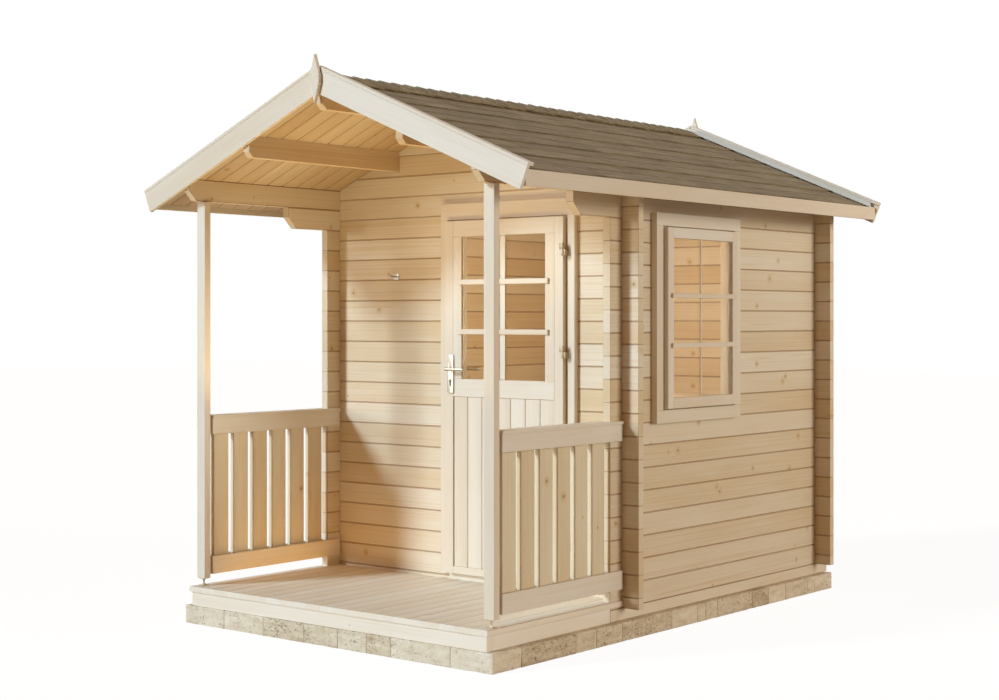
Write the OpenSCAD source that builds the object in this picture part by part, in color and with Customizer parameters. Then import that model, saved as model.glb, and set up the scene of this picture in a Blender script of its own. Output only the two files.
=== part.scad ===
// Outdoor sauna: a small log cabin with a gabled roof that reaches forward over a railed porch.
// The front faces -Y, up is +Z, and the origin is under the middle of the roof, on the ground.

/* [Cabin walls] */
// Outside width over the side walls
cabin_w = 2000; // [1900:10:2600]
// Outside depth from the front wall to the back wall
cabin_d = 2012; // [1800:1:3000]
// Thickness of a wall log
log_t = 44; // [38:1:54]
// Height of one log course
log_h = 114; // [110:1:122]
// Courses in a side wall, with the plate under the roof as the last: a taller door or window adds to them
courses = 19; // [19:1:22]
// Least courses of a side wall above the doorway's top
courses_over_door = 1.5; // [1.5:1:4.5]
// Least courses of a side wall above the window's opening
courses_over_window = 2; // [2:1:4]
// How far the logs run past each corner
corner_out = 100; // [70:5:140]
// Chamfer along the edges of a log
log_chamfer = 3; // [1:0.5:5]
// How far the corbel under each plate reaches in front of the front wall
corbel_out = 403; // [200:1:600]
// Cut under the front end of a corbel
corbel_cut = 62; // [20:1:70]

/* [Plinth and floor] */
// Height of the stone plinth
plinth_h = 95; // [60:1:200]
// Width of the stones in the plinth
plinth_stone_w = 210; // [150:5:300]
// How far the plinth stands out beside the walls
plinth_side = 42; // [10:1:80]
// How far the plinth stands out behind the back wall
plinth_rear = 87; // [40:1:150]
// Height of the bearers under the walls
bearer_h = 60; // [40:1:90]
// Width of the bearers under the walls
bearer_w = 92; // [80:1:120]
// Thickness of the floorboards in the room
room_floor_t = 28; // [20:1:36]
// Depth of the porch from the plinth's front to the front wall
porch_d = 1063; // [950:1:1500]
// Height of the frame under the porch deck
porch_frame_h = 72; // [45:1:100]
// Width of the timbers in the porch frame
porch_frame_w = 44; // [34:1:70]
// How far the porch frame stands back from the plinth's front
porch_frame_set = 10; // [0:1:30]
// Thickness of the porch deck
deck_t = 28; // [24:1:45]
// How far the deck stands out past the walls' outer faces
deck_nose = 10; // [0:1:30]

/* [Roof] */
// Slope of the roof in degrees
pitch = 22.8; // [18:0.1:30]
// How far the front barge boards stand in front of the plinth
roof_front = 67; // [20:1:200]
// How far the rear barge boards stand behind the back wall
roof_rear = 212; // [180:1:400]
// Overhang of the roof boards beside the walls, measured level
eave_out = 250; // [150:5:400]
// Thickness of the roof boards
roof_board_t = 26; // [18:1:32]
// Thickness of the shingles at their upper edge
shingle_thin = 10; // [4:1:12]
// Thickness of the shingles at their lower edge
shingle_thick = 20; // [14:1:26]
// Courses of shingles on each slope
shingle_courses = 11; // [8:1:14]
// Width of the ridge cap on each slope
ridge_cap_w = 120; // [80:5:130]
// Thickness of the ridge cap
ridge_cap_t = 22; // [8:1:26]
// Thickness of a barge board
barge_t = 18; // [14:1:28]
// Height of a barge board square to the slope
barge_h = 110; // [100:1:150]
// How far the barge boards hang below the roof boards
barge_drop = 38; // [20:1:60]
// How far the barge boards run past the roof boards down the slope
barge_tail = 15; // [10:1:40]
// Width of the cover strip on top of a barge board
barge_cover_w = 42; // [36:1:60]
// Thickness of the cover strip on top of a barge board
barge_cover_t = 16; // [10:1:24]
// Thickness of the eaves boards
fascia_t = 18; // [14:1:28]
// Height of the eaves boards
fascia_h = 74; // [60:1:110]
// Width of a gable finial
finial_w = 64; // [40:1:90]
// Height of a gable finial
finial_h = 241; // [180:1:300]
// Thickness of a gable finial
finial_t = 20; // [12:1:30]
// How far a finial stands up above the barge boards' peak
finial_rise = 52; // [20:1:90]
// Height of the ridge purlin at its middle
ridge_purlin_h = 117; // [90:1:150]
// Height of the purlins between ridge and wall, at their middle
mid_purlin_h = 100; // [80:1:105]
// Distance of those purlins from the ridge
mid_purlin_x = 520; // [450:1:560]
// Cut under the ends of purlins and plates
purlin_cut = 52; // [20:1:70]

/* [Porch posts and railings] */
// Width of a porch post across the house
post_w = 62; // [56:1:120]
// Depth of a porch post
post_d = 40; // [36:1:100]
// How far a post stands out past the wall's outer face
post_out = 9; // [0:1:40]
// How far a post stands back from the plinth's front
post_set = 50; // [30:1:120]
// Height of the adjustable steel foot under a post
foot_h = 38; // [32:1:80]
// Width of the plates of a post foot
foot_plate_w = 36; // [30:1:38]
// Thickness of the plates of a post foot
foot_plate_t = 3; // [2:0.5:5]
// Radius of the threaded rod in a post foot
foot_rod_r = 5; // [4:0.5:7]
// Thickness of the boards in a railing
rail_t = 18; // [14:1:21]
// Height of a railing's top above the deck
railing_h = 891; // [800:1:1000]
// Height of the upper rail boards
rail_top_h = 83; // [60:1:120]
// Height of the lower rail boards
rail_low_h = 93; // [60:1:120]
// Height of the lower rail above the deck
rail_low_z = 58; // [40:1:120]
// Thickness of the handrail on top
handrail_t = 16; // [12:1:30]
// Slats in a railing
slat_count = 6; // [4:1:7]
// Width of a railing slat
slat_w = 100; // [60:1:105]
// Thickness of a railing slat
slat_t = 30; // [24:1:36]
// Gap between a post and the end of its railing
rail_gap = 8; // [5:1:15]

/* [Door] */
// Middle of the door, across the house
door_x = 280; // [200:5:320]
// Width of the door leaf
leaf_w = 790; // [700:5:820]
// Height of the door leaf
leaf_h = 1880; // [1750:5:1900]
// Thickness of the door leaf
leaf_t = 44; // [38:1:50]
// How far the leaf's front stands out from the wall
leaf_out = 55; // [50:1:60]
// Room kept round moving pieces
swing_gap = 7; // [5:0.5:8]
// Width of the casing round the door
casing_w = 47; // [40:1:70]
// How far the casing stands out from the wall
casing_out = 30; // [24:1:36]
// Height of the casing over the door
casing_head_h = 88; // [60:1:90]
// Thickness of the jambs inside the wall's opening
jamb_t = 20; // [15:1:30]
// Height of the threshold above the deck
threshold_h = 32; // [30:1:34]
// Depth of the threshold in front of the wall
threshold_out = 15; // [12:1:20]
// Width of the door leaf's stiles beside the lower panel
stile_w = 55; // [45:1:80]
// Width of the leaf beside the glass
glass_margin = 115; // [90:1:140]
// Height of the leaf's top rail
leaf_top_h = 84; // [60:1:110]
// Height of the leaf's bottom rail
leaf_low_h = 40; // [30:1:160]
// Height of the leaf's middle rail
leaf_mid_h = 94; // [80:1:160]
// Height of the middle rail above the leaf's foot
leaf_mid_z = 945; // [850:5:960]
// Thickness of the panel in the lower half
panel_t = 20; // [14:1:26]
// How far the panel stands back in the leaf
panel_set = 8; // [4:1:12]
// Thickness of the panes
pane_t = 6; // [4:1:8]
// How far the door's pane stands back in the leaf
door_pane_set = 14; // [8:1:30]

/* [Door furniture] */
// Height of the lever above the leaf's foot
lever_z = 1091; // [1040:1:1110]
// Distance of the lever's axis from the leaf's edge
lever_edge = 42; // [30:1:50]
// Length of the lever
lever_len = 120; // [90:1:130]
// Radius of the lever's grip
lever_r = 9; // [7:0.5:10]
// How far the lever's grip stands off the leaf
lever_off = 48; // [40:1:52]
// Radius of the lever's spindle
spindle_r = 5; // [4:0.5:6]
// Running clearance round the spindle
spindle_gap = 0.5; // [0.3:0.1:1]
// Width of the plates behind the lever
plate_w = 40; // [32:1:46]
// Height of the plates behind the lever
plate_h = 204; // [160:1:220]
// Thickness of the plates behind the lever
plate_t = 7; // [5:1:9]
// Height of the plates above the lever's axis
plate_up = 75; // [50:1:90]
// Radius of a hinge knuckle
knuckle_r = 8; // [6:0.5:9]
// Height of one half of a hinge
hinge_h = 32; // [25:1:70]
// Radius of a hinge pin
hinge_pin_r = 4; // [3:0.5:5]
// Clearance round a hinge pin
hinge_pin_gap = 0.1; // [0.05:0.05:0.3]
// Thickness of a hinge's flaps
flap_t = 3; // [2:0.5:4]
// Width of a hinge's flaps
flap_w = 18; // [14:1:44]
// Heights of the hinges above the leaf's foot, as shares of the leaf
hinge_shares = [0.12, 0.633, 0.91];
// Height of the coat hook above the deck
hook_z = 1631; // [1400:1:1700]
// Distance of the coat hook from the middle, on the left
hook_x = 519; // [400:1:700]
// Width and height of the coat hook's plate
hook_plate_w = 36; // [24:1:50]
// Radius of the coat hook's peg
hook_peg_r = 5; // [4:0.5:7]
// Radius of the knob on the coat hook's peg
hook_knob_r = 8; // [7:0.5:12]
// Reach of the coat hook
hook_len = 46; // [30:1:60]

/* [Window] */
// Distance from the front wall to the window's middle
window_y = 666; // [600:1:900]
// Width of the window sash
sash_w = 680; // [500:5:700]
// Height of the window sash
sash_h = 928; // [800:2:940]
// Height of the sash's foot above the wall's first course
sash_z = 978; // [972:1:984]
// Thickness of the sash
sash_t = 44; // [36:1:50]
// How far the sash stands out from its casing
sash_out = 24; // [15:1:26]
// Width of the sash's stiles and rails
sash_frame_w = 54; // [40:1:70]
// How far the window casing stands out from the wall
window_casing_out = 36; // [28:1:44]
// How far the window casing covers the wall beside the opening
window_casing_lap = 40; // [25:1:60]
// Height of the window casing over and under the sash
window_casing_h = 67; // [40:1:90]
// Thickness of the window's jambs
window_jamb_t = 20; // [15:1:30]
// How far the window's stop reaches behind the sash
stop_lap = 15; // [8:1:25]
// How far the window's pane stands back in its sash
window_pane_set = 24; // [15:1:30]

/* [Bench] */
// Height of the bench above the room's floor
bench_z = 955; // [850:5:1000]
// Depth of the bench from the back wall
bench_d = 480; // [400:5:600]
// Thickness of the bench slats
bench_slat_t = 28; // [20:1:34]
// Slats in the bench
bench_slats = 5; // [3:1:6]
// Gap between the bench slats
bench_gap = 14; // [8:1:24]
// Width and height of the rails under the bench
bench_rail = 44; // [36:1:60]

/* [Fits] */
// Gap between pieces that are fixed to each other
fit = 0.3; // [0.2:0.1:0.6]

/* [Hidden] */
$fn = 48;
cut = 1;
spruce = "#E6C99A";
pale = "#EFDDBB";
stone = "#CFC4B0";
shingle_brown = "#7E6B57";
steel = "#B4B6B8";
clear = [0.72, 0.8, 0.82, 0.4];

// Levels, with the walls as high as the doorway and the window need
z_wall = plinth_h + bearer_h;
z_deck = plinth_h + porch_frame_h + deck_t;
z_room = z_wall + room_floor_t;
z_threshold = z_deck + threshold_h;
z_leaf = z_threshold + swing_gap;
z_leaf_top = z_leaf + leaf_h;
z_head = z_leaf_top + swing_gap;
head_course = ceil((z_head + jamb_t - z_wall) / log_h - 0.5) + 0.5;
window_course = ceil((sash_z + sash_h + swing_gap + window_jamb_t) / log_h);
wall_courses = max(courses, head_course + courses_over_door, window_course + courses_over_window);
quarter = log_h / 4;
z_plate = z_wall + (wall_courses - 1) * log_h;
z_plate_top = z_wall + wall_courses * log_h;
z_corbel = z_plate - log_h;
z_gable = z_wall + (wall_courses - 0.5) * log_h;

// Places across the house
x_out = cabin_w / 2;
x_in = x_out - log_t;
x_tip = x_out + corner_out;
eave_x = x_out + eave_out;
ridge_z = z_plate_top + x_in * tan(pitch);

// Places along the house, with the roof's middle at zero
roof_len = roof_front + porch_d + cabin_d + roof_rear;
y_front = -roof_len / 2;
y_rear = roof_len / 2;
y_plinth = y_front + roof_front;
y_wall = y_plinth + porch_d;
y_room = y_wall + log_t;
y_back = y_wall + cabin_d;
y_back_in = y_back - log_t;
y_log = y_wall - corner_out;
y_log_end = y_back + corner_out;
y_under = y_front + barge_t + fit;
y_under_end = y_rear - barge_t - fit;

// Roof layers, square to the slope and counted from the underside of the boards
n_shingle = roof_board_t + fit;
n_thin = n_shingle + shingle_thin;
n_thick = n_shingle + shingle_thick;
n_cap = n_thick + fit;
n_barge = barge_h - barge_drop;
barge_s = eave_x / cos(pitch) + barge_tail;

// Posts and railings
x_post = x_out + post_out - post_w;
y_post = y_plinth + post_set;
z_post = z_deck + foot_h;
y_rail = y_post + post_d + rail_gap;
y_rail_end = y_wall - 20;
z_rail_top = z_deck + railing_h - handrail_t - rail_top_h;
rail_in = x_in - fit - rail_t;
rail_out = x_out + fit + rail_t;
rail_pad = max(cut, (log_t - slat_t) / 2);
slat_in = x_in + rail_pad;
slat_out = x_out - rail_pad;
slat_space = (y_log - y_post - post_d - slat_count * slat_w) / (slat_count + 1);
slat_seat = 1;

// Door
y_leaf = y_wall - leaf_out;
y_leaf_back = y_leaf + leaf_t;
z_sill = z_wall + log_h / 2;
leaf_x0 = door_x - leaf_w / 2;
leaf_x1 = door_x + leaf_w / 2;
door_half = leaf_w / 2 + swing_gap;
z_door_cut = z_wall + head_course * log_h;
y_stop = y_leaf_back + swing_gap;
z_mid = z_leaf + leaf_mid_z;
z_glass = z_mid + leaf_mid_h;
z_glass_top = z_leaf_top - leaf_top_h;
hinge_x = leaf_x1 + swing_gap / 2;
hinge_gap = 0.5;
hinge_y = y_leaf - knuckle_r - hinge_gap;
lever_x = leaf_x0 + lever_edge;
z_lever = z_leaf + lever_z;

// Window in the right wall
y_window = y_wall + window_y;
z_sash = z_wall + sash_z;
sash_half = sash_w / 2;
z_sash_top = z_sash + sash_h;
window_half = sash_half + swing_gap + window_jamb_t;
z_window_cut = z_wall + floor((sash_z - swing_gap - window_jamb_t) / log_h) * log_h;
z_window_top = z_wall + window_course * log_h;
x_casing = x_out + window_casing_out;
x_sash_out = x_casing + sash_out;
x_sash = x_sash_out - sash_t;

// Bench
y_bench = y_back_in - bench_d;
z_bench = z_room + bench_z;
bench_slat_w = (bench_d - fit - (bench_slats - 1) * bench_gap) / bench_slats;

// A box given by its lowest and highest corners
module block(low, high) {
    translate(low)
        cube(high - low);
}

// A shape drawn in X and Z, swept along Y
module along_y(y0, y1) {
    translate([0, y1, 0])
        rotate([90, 0, 0])
            linear_extrude(y1 - y0)
                children();
}

// A shape drawn in Y and Z, swept along X
module along_x(x0, x1) {
    translate([x0, 0, 0])
        rotate([90, 0, 90])
            linear_extrude(x1 - x0)
                children();
}

// The other side of the house
module left_side() {
    mirror([1, 0, 0])
        children();
}

// Cross-section of a log, from its lower corner, with chamfered edges
function log_outline(a, z, h) = [
    [a + log_chamfer, z],
    [a + log_t - log_chamfer, z],
    [a + log_t, z + log_chamfer],
    [a + log_t, z + h - log_chamfer],
    [a + log_t - log_chamfer, z + h],
    [a + log_chamfer, z + h],
    [a, z + h - log_chamfer],
    [a, z + log_chamfer]
];

// A log of the right wall, with its lower face at z
module side_log(y0, y1, z) {
    along_y(y0, y1)
        polygon(log_outline(x_in, z, log_h - fit));
}

// A log of the front or back wall, with its outer or inner face at y
module cross_log(y, z, h) {
    along_x(-x_tip, x_tip)
        polygon(log_outline(y, z, h - fit));
}

// Notches of a side log where the front and back logs cross it
module side_notches(z, with_top = true) {
    for (y = [y_wall, y_back_in]) {
        block([x_in - cut, y - fit, z - cut], [x_out + cut, y + log_t + fit, z + quarter]);
        if (with_top)
            block([x_in - cut, y - fit, z + 3 * quarter - fit], [x_out + cut, y + log_t + fit, z + log_h]);
    }
}

// Notches of a front or back log where the side logs cross it
module cross_notches(y, z) {
    for (x = [-x_out, x_in]) {
        block([x - fit, y - cut, z - cut], [x + log_t + fit, y + log_t + cut, z + quarter]);
        block([x - fit, y - cut, z + 3 * quarter - fit], [x + log_t + fit, y + log_t + cut, z + log_h]);
    }
}

// A cut at 45 degrees under a timber's end: side 1 is the front end, -1 the rear end
module end_cut(y, z, size, side) {
    along_x(-x_tip, x_tip)
        polygon([
            [y - side * cut, z - cut],
            [y + side * (size + cut), z - cut],
            [y - side * cut, z + size + cut]
        ]);
}

// Points on the right slope: level distance from the ridge, then height square to the slope
function roof_pt(x, n) = [x, ridge_z - x * tan(pitch) + n / cos(pitch)];

// Points on the right slope: distance down the slope, then height square to it
function slope_pt(s, n) = [s * cos(pitch) + n * sin(pitch), ridge_z - s * sin(pitch) + n * cos(pitch)];

// Everything under the roof boards
module under_roof() {
    along_y(y_front, y_rear)
        polygon([[-eave_x, 0], [eave_x, 0], roof_pt(eave_x, 0), [0, ridge_z],
                 [-eave_x, roof_pt(eave_x, 0)[1]]]);
}

// A ring of four stone courses round the porch and cabin
module stone_plinth() {
    x1 = x_out + plinth_side;
    y1 = y_back + plinth_rear;
    color(stone) {
        block([-x1, y_plinth, 0], [x1, y_plinth + plinth_stone_w, plinth_h]);
        block([-x1, y1 - plinth_stone_w, 0], [x1, y1, plinth_h]);
        for (x = [-x1, x1 - plinth_stone_w])
            block([x, y_plinth + plinth_stone_w + fit, 0],
                  [x + plinth_stone_w, y1 - plinth_stone_w - fit, plinth_h]);
    }
}

// Bearers under the four walls, with three joists for the room's floor
module wall_bearers() {
    span = y_back - y_wall - 2 * bearer_w;
    color(spruce) {
        for (x = [-x_out, x_out - bearer_w])
            block([x, y_log, plinth_h], [x + bearer_w, y_log_end, z_wall - fit]);
        for (y = [y_wall, y_back - bearer_w, for (i = [1:3]) y_wall + bearer_w / 2 + i * span / 4])
            block([-x_out + bearer_w + fit, y, plinth_h],
                  [x_out - bearer_w - fit, y + bearer_w, z_wall - fit]);
    }
}

// Frame under the porch deck
module porch_frame() {
    y0 = y_plinth + porch_frame_set;
    z1 = plinth_h + porch_frame_h - fit;
    color(spruce) {
        block([-x_out, y0, plinth_h], [x_out, y0 + porch_frame_w, z1]);
        for (x = [-x_out, x_out - porch_frame_w])
            block([x, y0 + porch_frame_w + fit, plinth_h], [x + porch_frame_w, y_log - fit, z1]);
        block([-porch_frame_w / 2, y0 + porch_frame_w + fit, plinth_h],
              [porch_frame_w / 2, y_wall - fit, z1]);
    }
}

// Porch deck, cut back between the log ends
module porch_deck() {
    color(pale)
        difference() {
            block([-x_out - deck_nose, y_plinth, z_deck - deck_t], [x_out + deck_nose, y_wall - fit, z_deck]);
            for (x = [-x_out - deck_nose - cut, x_in - fit])
                block([x, y_log - fit, z_deck - deck_t - cut],
                      [x + log_t + deck_nose + fit + cut, y_wall, z_deck + cut]);
        }
}

// Floor of the room, on the bearers and joists
module room_floor() {
    color(pale)
        block([-x_in + fit, y_room + fit, z_wall], [x_in - fit, y_back_in - fit, z_room]);
}

// The logs of a side wall under its plate: the last is a corbel that reaches forward over the porch
module side_wall_logs() {
    for (k = [0:wall_courses - 3]) {
        z = z_wall + k * log_h;
        difference() {
            side_log(y_log, y_log_end, z);
            side_notches(z);
        }
    }
    difference() {
        side_log(y_wall - corbel_out, y_log_end, z_corbel);
        side_notches(z_corbel);
        end_cut(y_wall - corbel_out, z_corbel, corbel_cut, 1);
    }
}

module left_wall() {
    color(spruce)
        left_side()
            side_wall_logs();
}

// Right wall, with the window's opening cut on whole courses
module right_wall() {
    color(spruce)
        difference() {
            side_wall_logs();
            block([x_in - cut, y_window - window_half - fit, z_window_cut],
                  [x_out + cut, y_window + window_half + fit, z_window_top - fit]);
        }
}

// Logs of the front or back wall: a half log first, then whole courses
module cross_wall_logs(y) {
    difference() {
        cross_log(y, z_wall, log_h / 2);
        cross_notches(y, z_wall - log_h / 2);
    }
    for (j = [1:wall_courses - 2]) {
        z = z_wall + (j - 0.5) * log_h;
        difference() {
            cross_log(y, z, log_h);
            cross_notches(y, z);
        }
    }
    z = z_gable - log_h;
    intersection() {
        difference() {
            cross_log(y, z, log_h);
            cross_notches(y, z);
        }
        under_roof();
    }
}

// Front wall, with the doorway cut on whole courses
module front_wall() {
    color(pale)
        difference() {
            cross_wall_logs(y_wall);
            block([door_x - door_half - fit, y_wall - cut, z_sill - fit],
                  [door_x + door_half + fit, y_room + cut, z_door_cut - fit]);
        }
}

module back_wall() {
    color(spruce)
        cross_wall_logs(y_back_in);
}

// Half the width of the gable at a height
function gable_half(z) = (ridge_z - z) / tan(pitch);

// Logs of a gable, between the plates and under the roof, notched for the purlins
module gable_logs(y) {
    last = floor((ridge_z - z_gable - log_h / 4) / log_h);
    mid_low = roof_pt(mid_purlin_x, 0)[1] - mid_purlin_h;
    for (k = [0:last]) {
        z = z_gable + k * log_h;
        purlin_stop = mid_purlin_x - log_t / 2 - fit;
        plain_end = min(gable_half(z), x_in - fit);
        half = z > mid_low ? min(plain_end, purlin_stop) : plain_end;
        difference() {
            intersection() {
                along_x(-half, half)
                    polygon(log_outline(y, z, log_h - fit));
                under_roof();
            }
            purlin_room(0, ridge_z - ridge_purlin_h);
            for (x = [-mid_purlin_x, mid_purlin_x])
                purlin_room(x, mid_low);
        }
    }
}

// Space that a purlin takes up in a gable
module purlin_room(x, low) {
    block([x - log_t / 2 - fit, y_front, low - fit], [x + log_t / 2 + fit, y_rear, ridge_z + cut]);
}

module front_gable() {
    color(pale)
        gable_logs(y_wall);
}

module back_gable() {
    color(spruce)
        gable_logs(y_back_in);
}

// Top log of a side wall: it carries the rafters' feet and runs out to both barge boards
module wall_plate() {
    color(spruce)
        difference() {
            intersection() {
                side_log(y_under, y_under_end, z_plate);
                under_roof();
            }
            side_notches(z_plate, with_top = false);
            end_cut(y_under, z_plate, purlin_cut, 1);
            end_cut(y_under_end, z_plate, purlin_cut, -1);
        }
}

module left_wall_plate() {
    left_side()
        wall_plate();
}

module right_wall_plate() {
    wall_plate();
}

// A purlin at x, bevelled on top to the roof's slope
module purlin(x, h) {
    low = roof_pt(abs(x), 0)[1] - h;
    color(spruce)
        difference() {
            intersection() {
                block([x - log_t / 2, y_under, low], [x + log_t / 2, y_under_end, ridge_z]);
                under_roof();
            }
            end_cut(y_under, low, purlin_cut, 1);
            end_cut(y_under_end, low, purlin_cut, -1);
        }
}

module ridge_purlin() {
    purlin(0, ridge_purlin_h);
}

module left_purlin() {
    purlin(-mid_purlin_x, mid_purlin_h);
}

module right_purlin() {
    purlin(mid_purlin_x, mid_purlin_h);
}

// Boards of the right slope, with plumb ends
module roof_boards() {
    color(spruce)
        along_y(y_under, y_under_end)
            polygon([roof_pt(fit / 2, fit), roof_pt(eave_x, fit),
                     roof_pt(eave_x, roof_board_t), roof_pt(fit / 2, roof_board_t)]);
}

module left_roof_boards() {
    left_side()
        roof_boards();
}

module right_roof_boards() {
    roof_boards();
}

// Shingles of the right slope: each course is thickest at its lower edge
module shingles() {
    step = (eave_x - fit / 2) / shingle_courses;
    teeth = [
        for (i = [0:shingle_courses - 1])
            each [
                roof_pt(fit / 2 + i * step, i == 0 ? n_thick : n_thin),
                roof_pt(fit / 2 + (i + 1) * step, n_thick)
            ]
    ];
    color(shingle_brown)
        along_y(y_under, y_under_end)
            polygon(concat([roof_pt(eave_x, n_shingle), roof_pt(fit / 2, n_shingle)], teeth));
}

module left_shingles() {
    left_side()
        shingles();
}

module right_shingles() {
    shingles();
}

// Folded cap over the top of both slopes
module ridge_cap() {
    right_pts = [roof_pt(ridge_cap_w, n_cap), roof_pt(ridge_cap_w, n_cap + ridge_cap_t / 2),
                 roof_pt(0, n_cap + ridge_cap_t)];
    color(shingle_brown)
        along_y(y_under + barge_cover_w, y_under_end - barge_cover_w)
            polygon(concat(
                [roof_pt(0, n_cap)],
                right_pts,
                [for (i = [1:-1:0]) [-right_pts[i][0], right_pts[i][1]]]
            ));
}

// A sloping strip of the right barge, between two heights square to the slope
module barge_strip(n0, n1) {
    polygon([roof_pt(fit / 2, n0), slope_pt(barge_s, n0), slope_pt(barge_s, n1), roof_pt(fit / 2, n1)]);
}

// Right front barge: the board, a batten behind it on the shingles and the cover strip on both
module barge() {
    y_cover = y_front + barge_cover_w;
    color(pale) {
        along_y(y_front, y_front + barge_t)
            barge_strip(-barge_drop, n_barge);
        along_y(y_front + barge_t + fit, y_cover)
            polygon([roof_pt(fit / 2, n_cap), roof_pt(eave_x, n_cap), roof_pt(eave_x, n_barge),
                     roof_pt(fit / 2, n_barge)]);
        along_y(y_front, y_cover)
            barge_strip(n_barge + fit, n_barge + barge_cover_t);
    }
}

module front_barge_boards() {
    barge();
    left_side()
        barge();
}

module rear_barge_boards() {
    mirror([0, 1, 0])
        front_barge_boards();
}

// Pointed board that covers the joint of two barge boards
module finial() {
    z1 = roof_pt(0, n_barge + barge_cover_t)[1] + finial_rise;
    z0 = z1 - finial_h;
    color(pale)
        along_y(y_front - finial_t, y_front - fit)
            polygon([[0, z0], [finial_w / 2, z0 + finial_h * 0.42], [finial_w / 2, z0 + finial_h * 0.58],
                     [0, z1], [-finial_w / 2, z0 + finial_h * 0.58], [-finial_w / 2, z0 + finial_h * 0.42]]);
}

module front_finial() {
    finial();
}

module rear_finial() {
    mirror([0, 1, 0])
        finial();
}

// Boards along both eaves: they cover the ends of the roof boards and shingles
module eaves_boards() {
    z1 = roof_pt(eave_x, n_thick)[1];
    color(pale)
        for (x = [-eave_x - fascia_t, eave_x + fit])
            block([x, y_under, z1 - fascia_h], [x + fascia_t - fit, y_under_end, z1]);
}

// Post from its steel foot to the plate
module post() {
    color(pale)
        block([x_post, y_post, z_post], [x_post + post_w, y_post + post_d, z_plate - fit]);
}

module left_post() {
    left_side()
        post();
}

module right_post() {
    post();
}

// Steel foot: two plates, a threaded rod and its nut
module post_foot() {
    nut_h = foot_rod_r * 1.4;
    translate([x_post + post_w / 2, y_post + post_d / 2, z_deck]) {
        for (z = [fit, foot_h - foot_plate_t - fit])
            translate([-foot_plate_w / 2, -foot_plate_w / 2, z])
                cube([foot_plate_w, foot_plate_w, foot_plate_t]);
        translate([0, 0, fit])
            cylinder(r = foot_rod_r, h = foot_h - 2 * fit);
        for (z = [foot_plate_t, foot_h - foot_plate_t - nut_h])
            translate([0, 0, z])
                cylinder(r = foot_rod_r * 1.8, h = nut_h, $fn = 6);
    }
}

module post_feet() {
    color(steel) {
        post_foot();
        left_side()
            post_foot();
    }
}

// Railing: paired rails inside and outside, thinner where they lap the log ends, slats between them
// and a handrail on top
module railing() {
    z_cap = z_deck + railing_h - handrail_t;
    z_low = z_deck + rail_low_z;
    color(spruce) {
        for (z = [[z_low, z_low + rail_low_h], [z_rail_top, z_cap + handrail_t]]) {
            block([rail_in, y_rail, z[0]], [x_in - fit, y_rail_end, z[1]]);
            block([rail_in, y_rail, z[0]], [slat_in, y_log - fit, z[1]]);
            block([x_out + fit, y_rail, z[0]], [rail_out, y_rail_end, z[1]]);
            block([slat_out, y_rail, z[0]], [rail_out, y_log - fit, z[1]]);
        }
        block([rail_in, y_rail, z_cap], [rail_out, y_log - fit, z_cap + handrail_t]);
        for (i = [0:slat_count - 1]) {
            y = y_post + post_d + slat_space + i * (slat_w + slat_space);
            block([slat_in - slat_seat, y, z_low],
                  [slat_out + slat_seat, y + slat_w, z_cap + slat_seat]);
        }
    }
}

module left_railing() {
    left_side()
        railing();
}

module right_railing() {
    railing();
}

// Jambs and head of the door, each a casing outside and a stop inside the wall's opening
module door_frame() {
    x0 = door_x - door_half;
    x1 = door_x + door_half;
    y_casing = y_wall - casing_out;
    z_casing = z_head + casing_head_h;
    color(pale) {
        for (side = [0, 1])
            translate([side * (x0 + x1), 0, 0])
                mirror([side, 0, 0])
                    translate([0, 0, z_threshold + fit])
                        linear_extrude(z_head - z_threshold - 2 * fit)
                            polygon([[x0 - casing_w, y_casing], [x0, y_casing], [x0, y_stop],
                                     [x0 + jamb_t, y_stop], [x0 + jamb_t, y_room], [x0, y_room],
                                     [x0, y_wall - fit], [x0 - casing_w, y_wall - fit]]);
        block([x0 - casing_w, y_casing, z_head], [x1 + casing_w, y_wall - fit, z_casing]);
        block([x0, y_stop, z_head], [x1, y_room, z_door_cut - 2 * fit]);
        block([x0 + jamb_t + fit, y_stop, z_head - jamb_t], [x1 - jamb_t - fit, y_room, z_head + cut]);
    }
}

// Threshold on the half log, with a nosing down to the deck
module threshold() {
    x0 = door_x - door_half;
    x1 = door_x + door_half;
    color(spruce)
        along_x(x0, x1)
            polygon([[y_wall - threshold_out, z_deck + fit], [y_wall - fit, z_deck + fit],
                     [y_wall - fit, z_sill], [y_room, z_sill], [y_room, z_threshold],
                     [y_wall - threshold_out, z_threshold]]);
}

// Stiles and rails of the door leaf
module door_leaf() {
    x_left = leaf_x0 + stile_w;
    x_right = leaf_x1 - stile_w;
    glass_x0 = leaf_x0 + glass_margin;
    glass_x1 = leaf_x1 - glass_margin;
    color(pale)
        difference() {
            union() {
                for (x = [leaf_x0, x_right])
                    block([x, y_leaf, z_leaf], [x + stile_w, y_leaf_back, z_leaf_top]);
                block([x_left + fit, y_leaf, z_leaf], [x_right - fit, y_leaf_back, z_leaf + leaf_low_h]);
                block([x_left + fit, y_leaf, z_mid], [x_right - fit, y_leaf_back, z_glass]);
                block([x_left + fit, y_leaf, z_glass_top], [x_right - fit, y_leaf_back, z_leaf_top]);
                for (x = [[x_left + fit, glass_x0], [glass_x1, x_right - fit]])
                    block([x[0], y_leaf, z_glass + fit], [x[1], y_leaf_back, z_glass_top - fit]);
            }
            lever_bore();
        }
}

// Hole through the leaf for the lever's spindle
module lever_bore() {
    translate([lever_x, y_leaf - lever_off, z_lever])
        rotate([-90, 0, 0])
            cylinder(r = spindle_r + spindle_gap, h = leaf_t + 2 * lever_off);
}

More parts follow.
